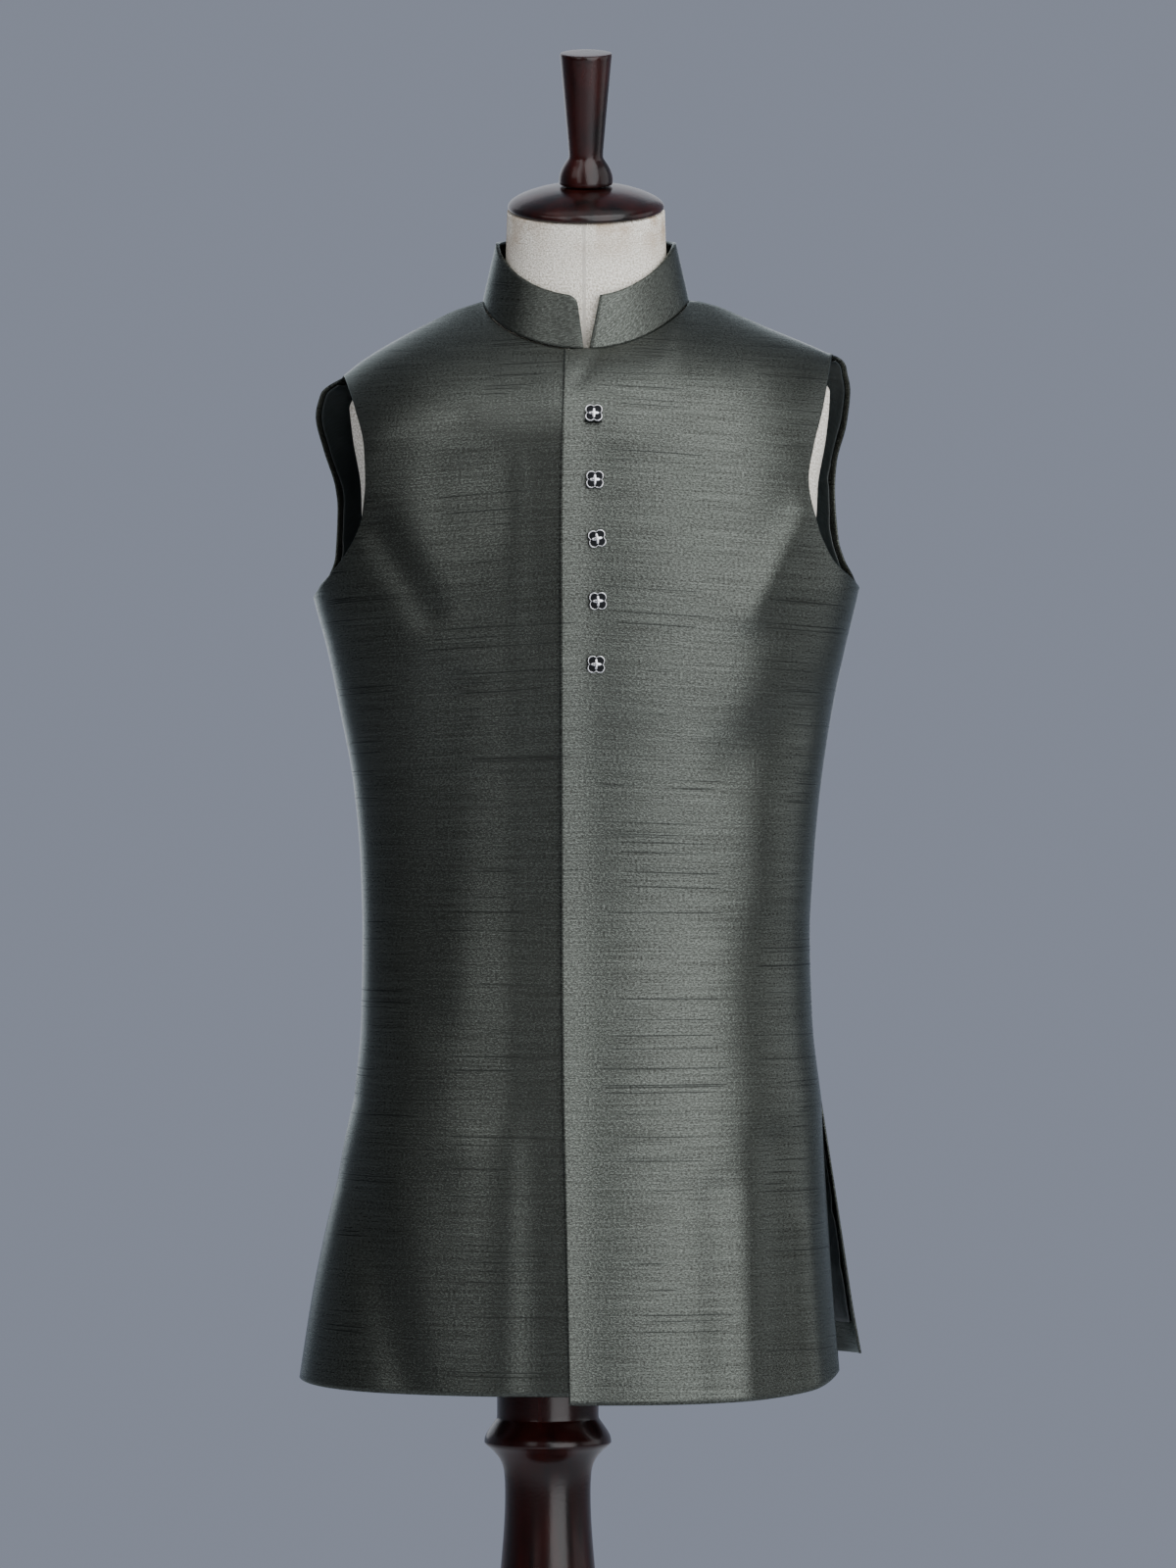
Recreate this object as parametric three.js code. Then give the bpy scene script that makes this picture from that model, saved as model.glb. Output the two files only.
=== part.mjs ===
// Sleeveless stand-collar jacket of slub silk on a limbless dress form with a turned wooden stand
// Millimetres, +Z up, and the front faces -Y, so the wearer's left is +X.
// The origin is the centre of the base's underside, on the column's axis.
import * as THREE from 'three';

// Driving sizes of the cloth
const WALL = 1.6;
const GAP = 0.3;
const COLLAR_WALL = 3;
const LINING_WALL = 0.8;
const LINING_GAP = 0.6;
const LINING_HEM = 0.6;
const LAP_GAP = 0.45;
const OVERLAP = 24;
const BODY_POWER = 2.3;

// Heights of the cloth above the floor
const HEM_CENTRE = { under: 577, over: 570.5, back: 596 };
const SLIT_TOP = 803;
const UNDERARM = { right: 1201, left: 1209 };
const UNDERARM_CENTRE = 1205;

// The torso stands this far to the wearer's left of the column
const TORSO_SHIFT = 30.4;

// Depth of the body's front and back from the side seams' plane, and the form's inside it
const DEPTHS = [
  { z: 570, front: 130, back: 124, formFront: 92, formBack: 90 },
  { z: 700, front: 122, back: 113, formFront: 94, formBack: 92 },
  { z: 850, front: 110, back: 98, formFront: 96, formBack: 86 },
  { z: 950, front: 104, back: 92, formFront: 92, formBack: 80 },
  { z: 1050, front: 109, back: 99, formFront: 98, formBack: 88 },
  { z: 1150, front: 118, back: 109, formFront: 109, formBack: 100 },
  { z: 1250, front: 123, back: 114, formFront: 117, formBack: 107 },
  { z: 1330, front: 120, back: 114, formFront: 114, formBack: 107 },
  { z: 1450, front: 116, back: 110, formFront: 110, formBack: 103 },
];

// Half-widths at the side seams, between the slit and the underarm
const SIDE_SEAMS = [
  { z: 803, right: 184.6, left: 187.2 },
  { z: 866, right: 178.8, left: 180.2 },
  { z: 935, right: 177.8, left: 178.2 },
  { z: 991, right: 179.4, left: 181 },
  { z: 1053, right: 184.9, left: 187 },
  { z: 1116, right: 196.6, left: 196.8 },
  { z: 1160, right: 205.8, left: 206 },
  { z: 1201, right: 216.8, left: 215.8 },
  { z: 1209, right: 218.6, left: 217.6 },
];

// Edges of the side slits: how far out each edge lies, and how far it stands off the seams' plane
const SLIT_EDGES = {
  front: {
    right: [
      { z: 582, out: 227.6, off: 16 },
      { z: 648, out: 217.4, off: 12 },
      { z: 710, out: 205, off: 8 },
      { z: 772, out: 191.8, off: 3 },
      { z: 803, out: 184.6, off: 0 },
    ],
    left: [
      { z: 589, out: 200.6, off: 32 },
      { z: 663, out: 195, off: 22 },
      { z: 739, out: 190.4, off: 10 },
      { z: 775, out: 188.5, off: 4 },
      { z: 803, out: 187.2, off: 0 },
    ],
  },
  back: {
    right: [
      { z: 597, out: 212, off: 20 },
      { z: 650, out: 205, off: 14 },
      { z: 710, out: 196.5, off: 9 },
      { z: 772, out: 188, off: 3 },
      { z: 803, out: 184.6, off: 0 },
    ],
    left: [
      { z: 598, out: 220.4, off: 22 },
      { z: 637, out: 213.3, off: 18 },
      { z: 679, out: 206.8, off: 13 },
      { z: 721, out: 200.3, off: 8 },
      { z: 803, out: 187.2, off: 0 },
    ],
  },
};

// Armhole edges from the underarm to the shoulder tip, with the body's full half-width there
const ARMHOLES = {
  front: {
    right: [
      { z: 1201, out: 216.8, full: 216.8 },
      { z: 1208, out: 210.8, full: 217.6 },
      { z: 1223, out: 197.3, full: 218.4 },
      { z: 1234, out: 188.4, full: 218.8 },
      { z: 1246, out: 181.1, full: 219.2 },
      { z: 1260, out: 175.9, full: 219.5 },
      { z: 1282, out: 173.4, full: 219.8 },
      { z: 1306, out: 174.4, full: 220 },
      { z: 1340, out: 182, full: 220.5 },
      { z: 1376, out: 192.4, full: 221 },
    ],
    left: [
      { z: 1209, out: 217.6, full: 217.6 },
      { z: 1216, out: 209.5, full: 218.2 },
      { z: 1227, out: 196.8, full: 218.8 },
      { z: 1239, out: 189, full: 219.2 },
      { z: 1253, out: 181.8, full: 219.5 },
      { z: 1270, out: 176.6, full: 219.8 },
      { z: 1288, out: 174.9, full: 220 },
      { z: 1312, out: 178.6, full: 220.3 },
      { z: 1345, out: 186.6, full: 220.7 },
      { z: 1394, out: 195.2, full: 221 },
    ],
  },
  back: {
    right: [
      { z: 1201, out: 216.8, full: 216.8 },
      { z: 1211, out: 213.6, full: 218.8 },
      { z: 1222, out: 206, full: 219.4 },
      { z: 1236, out: 202, full: 219.8 },
      { z: 1275, out: 200.4, full: 220.4 },
      { z: 1290, out: 202, full: 220.8 },
      { z: 1320, out: 211, full: 221.6 },
      { z: 1345, out: 216.4, full: 222.4 },
      { z: 1362, out: 212.5, full: 222.6 },
      { z: 1376, out: 192.4, full: 222.8 },
    ],
    left: [
      { z: 1209, out: 217.6, full: 217.6 },
      { z: 1220, out: 214, full: 219.2 },
      { z: 1233, out: 208, full: 219.6 },
      { z: 1250, out: 203.4, full: 220 },
      { z: 1290, out: 200.8, full: 220.4 },
      { z: 1310, out: 202, full: 220.8 },
      { z: 1342, out: 209.6, full: 221.2 },
      { z: 1366, out: 211.8, full: 221.6 },
      { z: 1382, out: 208.4, full: 221.8 },
      { z: 1394, out: 195.2, full: 222 },
    ],
  },
};

// Height of the shoulder seams, from the neck to the shoulder tip
const SHOULDERS = [
  { x: 82, right: 1436.5, left: 1437.5 },
  { x: 100, right: 1430.8, left: 1434 },
  { x: 117, right: 1423.2, left: 1427.4 },
  { x: 147, right: 1407.8, left: 1414.4 },
  { x: 177, right: 1389.6, left: 1402 },
  { x: 192, right: 1377.8, left: 1395.2 },
];
const CREST_RISE = { right: 1.2, left: 3.8 };
const CREST_ACROSS = { from: 82, run: 50 };
const CREST_RUN = 16;
const SEAM_BACK = -11;

// How the body rounds over at the top: the round's height and the power of its curve
const ROUND = {
  front: { centre: 128, shoulder: 98, powerCentre: 1, powerTip: 0.56, crown: 7 },
  back: { centre: 130, shoulder: 105, powerCentre: 0.95, powerTip: 0.5, crown: 50 },
};
const ROUND_ACROSS = { height: { from: 40, run: 110 }, power: { from: 70, run: 115 } };
const CROWN_REACH = 120;
const NECKLINE_FADE = 55;
const NECKLINE_SPREAD = [-0.7, -0.35, 0, 0.35, 0.7];

// Neckline, a tilted oval ring, and the collar that stands on it
const NECK = { half: 82, back: SEAM_BACK, front: 71, rear: 70, side: 1436.8, drop: 43.5, rise: 10 };
const NECK_POWER = { right: 1.15, left: 1.45 };
const COLLAR_TOP = { half: 71.5, back: -10.5, front: 62.5, rear: 62, side: 1483, drop: 46.5, rise: 9 };
const COLLAR_END = { rightLow: -1.6, rightHigh: -6, leftLow: 2.4, leftHigh: 11 };
const COLLAR_CORNER = 9;
const COLLAR_STEPS = 44;
const COLLAR_STAND = 0.8;
const COLLAR_LEAN = 0.18;

// Largest folds of the cloth, seen from the front or the back: a ridge rises and a trough sinks
const FRONT_FOLDS = [
  { x0: -8, z0: 1330, x1: -8, z1: 560, width: 30, rise: 3.6 },
  { x0: 172, z0: 1262, x1: 128, z1: 1188, width: 15, rise: 3 },
  { x0: 186, z0: 1098, x1: 118, z1: 1088, width: 20, rise: -3.2 },
  { x0: 146, z0: 1010, x1: 150, z1: 970, width: 30, rise: 2.6 },
  { x0: 150, z0: 770, x1: 150, z1: 575, width: 15, rise: -2.8 },
  { x0: 172, z0: 705, x1: 180, z1: 575, width: 11, rise: 2.6 },
  { x0: 100, z0: 730, x1: 106, z1: 575, width: 17, rise: -2.2 },
  { x0: -164, z0: 1250, x1: -126, z1: 1188, width: 15, rise: -2.6 },
  { x0: -98, z0: 1290, x1: -92, z1: 1262, width: 24, rise: -2 },
  { x0: -110, z0: 1120, x1: -132, z1: 880, width: 30, rise: -3 },
  { x0: -180, z0: 735, x1: -140, z1: 575, width: 20, rise: -3.4 },
  { x0: -80, z0: 760, x1: -76, z1: 575, width: 26, rise: 2.4 },
];
const FOLD_SEAM = { low: 0.9, high: 2.1, power: 8 };
const FOLD_CALM = { from: 2.55, run: 0.35 };
const BACK_FOLDS = [
  { x0: -150, z0: 1290, x1: -118, z1: 1180, width: 18, rise: -3 },
  { x0: 152, z0: 1296, x1: 112, z1: 1172, width: 17, rise: -3.2 },
  { x0: -60, z0: 1000, x1: -74, z1: 610, width: 24, rise: 3.4 },
  { x0: 8, z0: 930, x1: 4, z1: 600, width: 22, rise: -3 },
  { x0: 84, z0: 980, x1: 96, z1: 605, width: 26, rise: 3.6 },
  { x0: -150, z0: 900, x1: -158, z1: 640, width: 20, rise: -2.6 },
  { x0: -30, z0: 1100, x1: 60, z1: 1082, width: 26, rise: -2.2 },
];

// The over-front's lapping edge, from the hem to the neckline, and its lowered top corner
const OVER_EDGE = [
  { t: 0, x: -13 },
  { t: 0.5, x: -15.5 },
  { t: 1.4, x: -19.5 },
  { t: 2.2, x: -20 },
  { t: 3, x: -17 },
];
const OVER_CORNER = { slope: 0.2, from: 2 };
const OVER_LIFT = { from: 0.14, reach: 0.55, reachTop: 0.16 };
const OVER_LIFT_NARROWS = { from: 2.4, run: 0.6 };

// Rows up a panel: the hem to the slit top, on to the underarm, and on to the top edge
const SLIT_ROWS = 5;
const SIDE_ROWS = 6;
const TOP_SHARES = [0.02, 0.05, 0.09, 0.14, 0.2, 0.28, 0.4, 0.54, 0.68, 0.79, 0.87, 0.935, 0.975, 1];
const EDGE_PULL = 2;
const HEM_PULL = 3;
const LAST_ROW = 0.025;
const NECK_TURNS = { front: [26, 37, 50, 63, 76], back: [0, 18, 36, 54, 72] };
const SHOULDER_STEPS = 6;
const BORDER_SHARE = 0.95;

// Buttons: centre on the over-front, width and turn
const BUTTONS = [
  { x: 6.1, z: 1339, turn: 0 },
  { x: 6.9, z: 1289, turn: 0 },
  { x: 8.6, z: 1243.5, turn: 10 },
  { x: 9.3, z: 1195.5, turn: 3 },
  { x: 7.9, z: 1146.5, turn: 0 },
];
const BUTTON = { half: 6.8, inset: 0.2, body: 4.4, stand: 0.9, points: 16 };
const BUTTON_FACE = { height: 1, rimWidth: 1.3, eye: 2.6, eyePoints: 8 };
const LOBE = { depth: 0.13, corner: 1.22 };

// The form's own widths, its neck and its wooden cap, which tips forward
const FORM_WIDTHS = [
  { z: 700, half: 158 },
  { z: 790, half: 160 },
  { z: 870, half: 152 },
  { z: 950, half: 148 },
  { z: 1050, half: 158 },
  { z: 1150, half: 171 },
  { z: 1220, half: 176 },
  { z: 1285, half: 177 },
  { z: 1330, half: 184 },
  { z: 1365, half: 187 },
  { z: 1450, half: 187 },
];
const FORM_RINGS = [
  ...[700, 712, 760, 820, 885, 950, 1015, 1080, 1150, 1215, 1275, 1315, 1345, 1365],
  ...[1378, 1388, 1397, 1405, 1413, 1421, 1428, 1434, 1440, 1448, 1458, 1472, 1488, 1507],
];
const FORM_FOOT_INSET = 0.94;
const FORM_DROP = 3.3;
const FORM_NECK_RISE = 0.12;
const FORM_SHOULDER = { from: 150, width: 187, drop: 26 };
const NECK_FORM = { half: 59, lowHalf: 60, depth: 57, lowDepth: 55, low: 1425, lowBack: -9 };
const NECK_FOOT = 1340;
const NECK_BLEND = 0.09;
const FORM_NARROWS = { from: 1330, run: 110 };
const FORM_LEANS = { from: 1440, run: 60 };
const FORM_TIPS = { from: 1448, run: 59 };
const TORSO_DEEP = 110;
const FORM_ROUND = { centre: 230, shoulder: 112, reach: 170, powerCentre: 1, powerTip: 0.8 };
const CAP_CENTRE = { y: -22, z: 1507 };
const CAP_TIP = 15.5;
const FORM_SIDES = 28;
const FAR = 3.6;
const TURNED_SIDES = { cap: 28, finial: 20, column: 24, base: 32 };

// Turned profiles, each from the axis round to the axis
const CAP_PROFILE = [
  { r: 0, h: 0.4 },
  { r: 56, h: 0.4 },
  { r: 59.4, h: 1.6 },
  { r: 60.2, h: 4 },
  { r: 58.6, h: 7 },
  { r: 52, h: 11.5 },
  { r: 40, h: 16.2 },
  { r: 26, h: 19.6 },
  { r: 0, h: 21 },
];
const FINIAL_PROFILE = [
  { r: 0, h: 21.4 },
  { r: 20.4, h: 21.4 },
  { r: 20.6, h: 26 },
  { r: 19, h: 32.5 },
  { r: 15.6, h: 38 },
  { r: 12.6, h: 43.5 },
  { r: 12.7, h: 52 },
  { r: 18.6, h: 122 },
  { r: 19.1, h: 124.5 },
  { r: 18.3, h: 126.5 },
  { r: 0, h: 126.5 },
];
const COLUMN_PROFILE = [
  { r: 0, z: 62.3 },
  { r: 47, z: 62.3 },
  { r: 49, z: 72 },
  { r: 44, z: 84 },
  { r: 33, z: 92 },
  { r: 30, z: 104 },
  { r: 38, z: 113 },
  { r: 40, z: 121 },
  { r: 34, z: 130 },
  { r: 28, z: 146 },
  { r: 31, z: 200 },
  { r: 40, z: 290 },
  { r: 42.5, z: 345 },
  { r: 41, z: 395 },
  { r: 37.4, z: 430 },
  { r: 34.2, z: 470 },
  { r: 34, z: 502 },
  { r: 36.4, z: 514 },
  { r: 43.3, z: 523 },
  { r: 50.6, z: 529 },
  { r: 50, z: 535 },
  { r: 45, z: 542 },
  { r: 40.5, z: 548.5 },
  { r: 40.5, z: 699.7 },
  { r: 0, z: 699.7 },
];
const BASE_PROFILE = [
  { r: 0, z: 0 },
  { r: 204, z: 0 },
  { r: 210, z: 7 },
  { r: 210, z: 20 },
  { r: 201, z: 29 },
  { r: 150, z: 39 },
  { r: 96, z: 50 },
  { r: 64, z: 62 },
  { r: 0, z: 62 },
];

// Materials
function finish(color, roughness, metalness) {
  return new THREE.MeshStandardMaterial({ color, roughness, metalness });
}
const SILK = finish('#545c52', 0.55, 0);
const SATIN = finish('#20282a', 0.35, 0);
const CANVAS = finish('#d8d2c2', 0.9, 0);
const LACQUER = finish('#34100e', 0.22, 0);
const GUNMETAL = finish('#202124', 0.35, 0.8);
const SILVER = finish('#c9c9cc', 0.25, 1);

// Small helpers
const DEGREE = Math.PI / 180;
const TINY = 1e-6;
const SOLVE_STEPS = 30;
const NORMAL_REACH = 1e-3;
const CUT_STRETCH = 1.4;

function mix(a, b, share) {
  return a + (b - a) * share;
}

function clamp(value, low, high) {
  return Math.min(high, Math.max(low, value));
}

function smooth(share) {
  const s = clamp(share, 0, 1);
  return s * s * (3 - 2 * s);
}

function ramp(zone, value) {
  return smooth((value - zone.from) / zone.run);
}

// A curve through one column of a table, which never overshoots its rows
function through(rows, along, column) {
  const at = rows.map((row) => row[along]);
  const value = rows.map((row) => row[column]);
  const last = at.length - 1;
  const step = [];
  for (let i = 0; i < last; i += 1) {
    step.push((value[i + 1] - value[i]) / (at[i + 1] - at[i]));
  }
  const slope = at.map((_, i) => {
    if (i === 0 || i === last) return step[Math.min(i, last - 1)];
    const product = step[i - 1] * step[i];
    return product > 0 ? (2 * product) / (step[i - 1] + step[i]) : 0;
  });
  return (wanted) => {
    const x = clamp(wanted, at[0], at[last]);
    let i = 0;
    while (i < last - 1 && x > at[i + 1]) i += 1;
    const run = at[i + 1] - at[i];
    const t = (x - at[i]) / run;
    const a = value[i] * (1 + 2 * t) * (1 - t) ** 2;
    const b = value[i + 1] * t * t * (3 - 2 * t);
    const c = slope[i] * run * t * (1 - t) ** 2;
    const d = slope[i + 1] * run * t * t * (t - 1);
    return a + b + c + d;
  };
}

// The tables as curves
const SIDES = ['right', 'left'];
const FACES = ['front', 'back'];
const UNDER = { face: 'front', hem: HEM_CENTRE.under, cornerSlope: 0 };
const OVER = { face: 'front', hem: HEM_CENTRE.over, cornerSlope: OVER_CORNER.slope };
const BACK = { face: 'back', hem: HEM_CENTRE.back, cornerSlope: 0 };
const depthOf = { front: through(DEPTHS, 'z', 'front'), back: through(DEPTHS, 'z', 'back') };
const formDepthOf = {
  front: through(DEPTHS, 'z', 'formFront'),
  back: through(DEPTHS, 'z', 'formBack'),
};
const formWidthOf = through(FORM_WIDTHS, 'z', 'half');
const overEdgeOf = through(OVER_EDGE, 't', 'x');
const seamOf = {};
const shoulderOf = {};
const slitOf = { front: {}, back: {} };
const armholeOf = { front: {}, back: {} };
for (const side of SIDES) {
  seamOf[side] = through(SIDE_SEAMS, 'z', side);
  shoulderOf[side] = through(SHOULDERS, 'x', side);
  for (const face of FACES) {
    const slit = SLIT_EDGES[face][side];
    const armhole = ARMHOLES[face][side];
    slitOf[face][side] = {
      foot: slit[0].z,
      out: through(slit, 'z', 'out'),
      off: through(slit, 'z', 'off'),
    };
    armholeOf[face][side] = {
      tip: armhole[armhole.length - 1].z,
      out: through(armhole, 'z', 'out'),
      full: through(armhole, 'z', 'full'),
    };
  }
}

// Where a panel's edge lies in row t: 0 is the hem, 1 the slit top, 2 the underarm, 3 the top
function edgeAt(face, side, t) {
  if (t < 1) {
    const slit = slitOf[face][side];
    const z = mix(slit.foot, SLIT_TOP, t);
    const lean = 1 - (slit.off(z) / depthOf[face](z)) ** BODY_POWER;
    return { out: slit.out(z), full: slit.out(z) / lean ** (1 / BODY_POWER) };
  }
  if (t <= 2) {
    const out = seamOf[side](mix(SLIT_TOP, UNDERARM[side], t - 1));
    return { out, full: out };
  }
  const armhole = armholeOf[face][side];
  const z = mix(UNDERARM[side], armhole.tip, t - 2);
  return { out: armhole.out(z), full: armhole.full(z) };
}

// Turn round the body's section at a share s of the half-panel; only the outer columns follow
// the edge where it cuts in
function columnTurn(edge, share) {
  const edgeTurn = Math.asin(Math.min(1, (edge.out / edge.full) ** (BODY_POWER / 2)));
  const quarter = Math.PI / 2;
  return quarter * share - (quarter - edgeTurn) * share ** EDGE_PULL;
}

// Share of the half-panel for a distance x from the centre
function shareOf(face, side, t, x) {
  const edge = edgeAt(face, side, t);
  const turn = Math.asin((Math.abs(x) / edge.full) ** (BODY_POWER / 2));
  let share = turn / (Math.PI / 2);
  for (let i = 0; i < SOLVE_STEPS; i += 1) {
    share += (turn - columnTurn(edge, share)) / (Math.PI / 2);
  }
  return share;
}

function neckShare(face, side) {
  return shareOf(face, side, 3, NECK.half);
}

// A point of the neckline, or of the collar's top ring, at a turn from the centre front
function ringPoint(ring, turn) {
  const forward = Math.cos(turn);
  const side = Math.sin(turn) < 0 ? 'right' : 'left';
  const x = ring.half * Math.sin(turn);
  if (forward > 0) {
    const z = ring.side - ring.drop * forward ** NECK_POWER[side];
    return new THREE.Vector3(x, ring.back - ring.front * forward, z);
  }
  return new THREE.Vector3(x, ring.back - ring.rear * forward, ring.side - ring.rise * forward);
}

// The panel's top edge above a place: on the neckline, or on the shoulder seam beyond it
function topEdge(face, side, x) {
  const sign = side === 'right' ? -1 : 1;
  if (x < NECK.half) {
    const lean = Math.asin(x / NECK.half);
    return ringPoint(NECK, sign * (face === 'front' ? lean : Math.PI - lean));
  }
  return new THREE.Vector3(sign * x, SEAM_BACK, shoulderOf[side](x));
}

// Depth of the rounded body at a place: full below, and closing towards the shoulder line
function bodyDepth(face, side, x, z, full) {
  const round = ROUND[face];
  const inside = Math.max(0, 1 - (x / CROWN_REACH) ** 2) ** 2;
  const crown = shoulderOf[side](Math.max(x, NECK.half)) + round.crown * inside;
  const height = mix(round.centre, round.shoulder, ramp(ROUND_ACROSS.height, x));
  const power = mix(round.powerCentre, round.powerTip, ramp(ROUND_ACROSS.power, x));
  const low = (1 - (1 - clamp((crown - z) / height, 0, 1)) ** 2) ** power;
  const curve = Math.max(0, 1 - (x / full) ** BODY_POWER) ** (1 / BODY_POWER);
  const outward = face === 'front' ? -1 : 1;
  return mix(SEAM_BACK, outward * depthOf[face](z) * curve, low);
}

// How far the rounded body misses the top edge, evened out sideways the further below it
function topMiss(face, side, x, below) {
  const full = edgeAt(face, side, 3).full;
  let sum = 0;
  for (const step of NECKLINE_SPREAD) {
    const near = Math.abs(x + step * below);
    const top = topEdge(face, side, near);
    sum += top.y - bodyDepth(face, side, near, top.z, full);
  }
  return sum / NECKLINE_SPREAD.length;
}

// A point of the bare body surface: s runs from the centre, 0, to the panel's edge, 1 or -1
function bodyPoint(panel, s, t) {
  const face = panel.face;
  const side = s < 0 ? 'right' : 'left';
  const sign = s < 0 ? -1 : 1;
  const share = Math.abs(s);
  const edge = edgeAt(face, side, t);
  const x = edge.full * Math.sin(columnTurn(edge, share)) ** (2 / BODY_POWER);
  let z;
  let top = null;
  if (t < 1) {
    const hem = mix(panel.hem, slitOf[face][side].foot, share ** HEM_PULL);
    z = mix(hem, SLIT_TOP, t);
  } else {
    const underarm = mix(UNDERARM_CENTRE, UNDERARM[side], share);
    z = mix(SLIT_TOP, underarm, Math.min(t, 2) - 1);
    if (t > 2) {
      top = topEdge(face, side, x);
      const cut = panel.cornerSlope * Math.max(0, OVER_CORNER.from - sign * x);
      z = mix(underarm, top.z, t - 2) - cut * clamp(1 - (3 - t) / LAST_ROW, 0, 1);
    }
  }
  let y = bodyDepth(face, side, x, z, edge.full);
  if (top) {
    const below = top.z - z;
    y += topMiss(face, side, x, below) * Math.exp(-((below / NECKLINE_FADE) ** 2));
    const crest = CREST_RISE[side] * ramp(CREST_ACROSS, x);
    if (face === 'back') z += crest * Math.sin(Math.PI * clamp(below / CREST_RUN, 0, 1));
  }
  return new THREE.Vector3(sign * x, y, z);
}

// Outward direction of the body surface, from near points along and across it
function bodyNormal(panel, s, t) {
  const a = bodyPoint(panel, clamp(s + NORMAL_REACH, -1, 1), t);
  const b = bodyPoint(panel, clamp(s - NORMAL_REACH, -1, 1), t);
  const c = bodyPoint(panel, s, clamp(t + NORMAL_REACH, 0, 3));
  const d = bodyPoint(panel, s, clamp(t - NORMAL_REACH, 0, 3));
  const across = a.sub(b);
  const up = c.sub(d);
  const normal = panel.face === 'front' ? across.cross(up) : up.cross(across);
  return normal.normalize();
}

// Height of the folds at a point, calm at the side seams and at the shoulders
function foldRise(face, point, s, t) {
  const folds = face === 'front' ? FRONT_FOLDS : BACK_FOLDS;
  let rise = 0;
  for (const fold of folds) {
    const dx = fold.x1 - fold.x0;
    const dz = fold.z1 - fold.z0;
    const along = ((point.x - fold.x0) * dx + (point.z - fold.z0) * dz) / (dx * dx + dz * dz);
    const a = clamp(along, 0, 1);
    const away = Math.hypot(point.x - fold.x0 - a * dx, point.z - fold.z0 - a * dz);
    rise += fold.rise * Math.exp(-((away / fold.width) ** 2));
  }
  const besideSeam = t >= FOLD_SEAM.low && t <= FOLD_SEAM.high;
  const seam = besideSeam ? 1 - Math.abs(s) ** FOLD_SEAM.power : 1;
  return rise * seam * (1 - ramp(FOLD_CALM, t));
}

// A wall's outer and inner point; at a seam the wall's end is cut in the seam's own plane
function wallPair(panel, s, t, lift, wall) {
  const face = panel.face;
  const point = bodyPoint(panel, s, t);
  const normal = bodyNormal(panel, s, t);
  const outer = point.clone().addScaledVector(normal, foldRise(face, point, s, t) + lift);
  const side = s < 0 ? 'right' : 'left';
  const atSide = Math.abs(s) > 1 - TINY && t >= 1 - TINY && t <= 2 + TINY;
  const atShoulder = t > 3 - TINY && Math.abs(s) >= neckShare(face, side) - TINY;
  let depth = wall;
  const inward = normal.clone();
  if (atSide || atShoulder) {
    const outward = face === 'front' ? -1 : 1;
    inward.y = 0;
    inward.normalize();
    depth = wall / Math.max(inward.dot(normal), 1 / CUT_STRETCH);
    outer.y = (atSide ? 0 : SEAM_BACK) + (outward * GAP) / 2;
  }
  return [outer, outer.clone().addScaledVector(inward, -depth)];
}

// A closed mesh from rows of outer points and rows of inner points of the same size
function wallGeometry(outer, inner) {
  const rows = outer.length;
  const columns = outer[0].length;
  const positions = [];
  for (const grid of [outer, inner]) {
    for (const row of grid) {
      for (const p of row) positions.push(p.x, p.y, p.z);
    }
  }
  const at = (layer, row, column) => (layer * rows + row) * columns + column;
  const faces = [];
  const quad = (a, b, c, d) => faces.push(a, b, c, a, c, d);
  const top = rows - 1;
  const end = columns - 1;
  for (let row = 0; row < top; row += 1) {
    for (let column = 0; column < end; column += 1) {
      const corners = [[row, column], [row, column + 1], [row + 1, column + 1], [row + 1, column]];
      const [a, b, c, d] = corners.map(([r, k]) => at(0, r, k));
      const [e, f, g, h] = corners.map(([r, k]) => at(1, r, k));
      quad(a, b, c, d);
      quad(e, h, g, f);
    }
  }
  for (let column = 0; column < end; column += 1) {
    quad(at(1, 0, column), at(1, 0, column + 1), at(0, 0, column + 1), at(0, 0, column));
    quad(at(0, top, column), at(0, top, column + 1), at(1, top, column + 1), at(1, top, column));
  }
  for (let row = 0; row < top; row += 1) {
    quad(at(1, row + 1, 0), at(1, row, 0), at(0, row, 0), at(0, row + 1, 0));
    quad(at(0, row + 1, end), at(0, row, end), at(1, row, end), at(1, row + 1, end));
  }
  const geometry = new THREE.BufferGeometry();
  geometry.setAttribute('position', new THREE.Float32BufferAttribute(positions, 3));
  geometry.setIndex(faces);
  return geometry;
}

// Rows of a panel as values of t
function panelRows() {
  const rows = [];
  for (let i = 0; i < SLIT_ROWS; i += 1) rows.push(i / SLIT_ROWS);
  for (let i = 0; i < SIDE_ROWS; i += 1) rows.push(1 + i / SIDE_ROWS);
  rows.push(2);
  for (const share of TOP_SHARES) rows.push(2 + share);
  return rows;
}

// Shares from near the centre to one side: dense round the neck, then even to the edge
function sideShares(face, side) {
  const shares = [];
  for (const turn of NECK_TURNS[face]) {
    shares.push(shareOf(face, side, 3, NECK.half * Math.sin(turn * DEGREE)));
  }
  const neck = neckShare(face, side);
  for (let i = 0; i < SHOULDER_STEPS; i += 1) shares.push(mix(neck, 1, i / SHOULDER_STEPS));
  return [...shares, BORDER_SHARE, 1];
}

function panelGeometry(panel, rows, sharesInRow, liftAt, wall) {
  const outer = [];
  const inner = [];
  for (const t of rows) {
    const pairs = sharesInRow(t).map((s) => wallPair(panel, s, t, liftAt(s, t), wall));
    outer.push(pairs.map((pair) => pair[0]));
    inner.push(pairs.map((pair) => pair[1]));
  }
  return wallGeometry(outer, inner);
}

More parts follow.
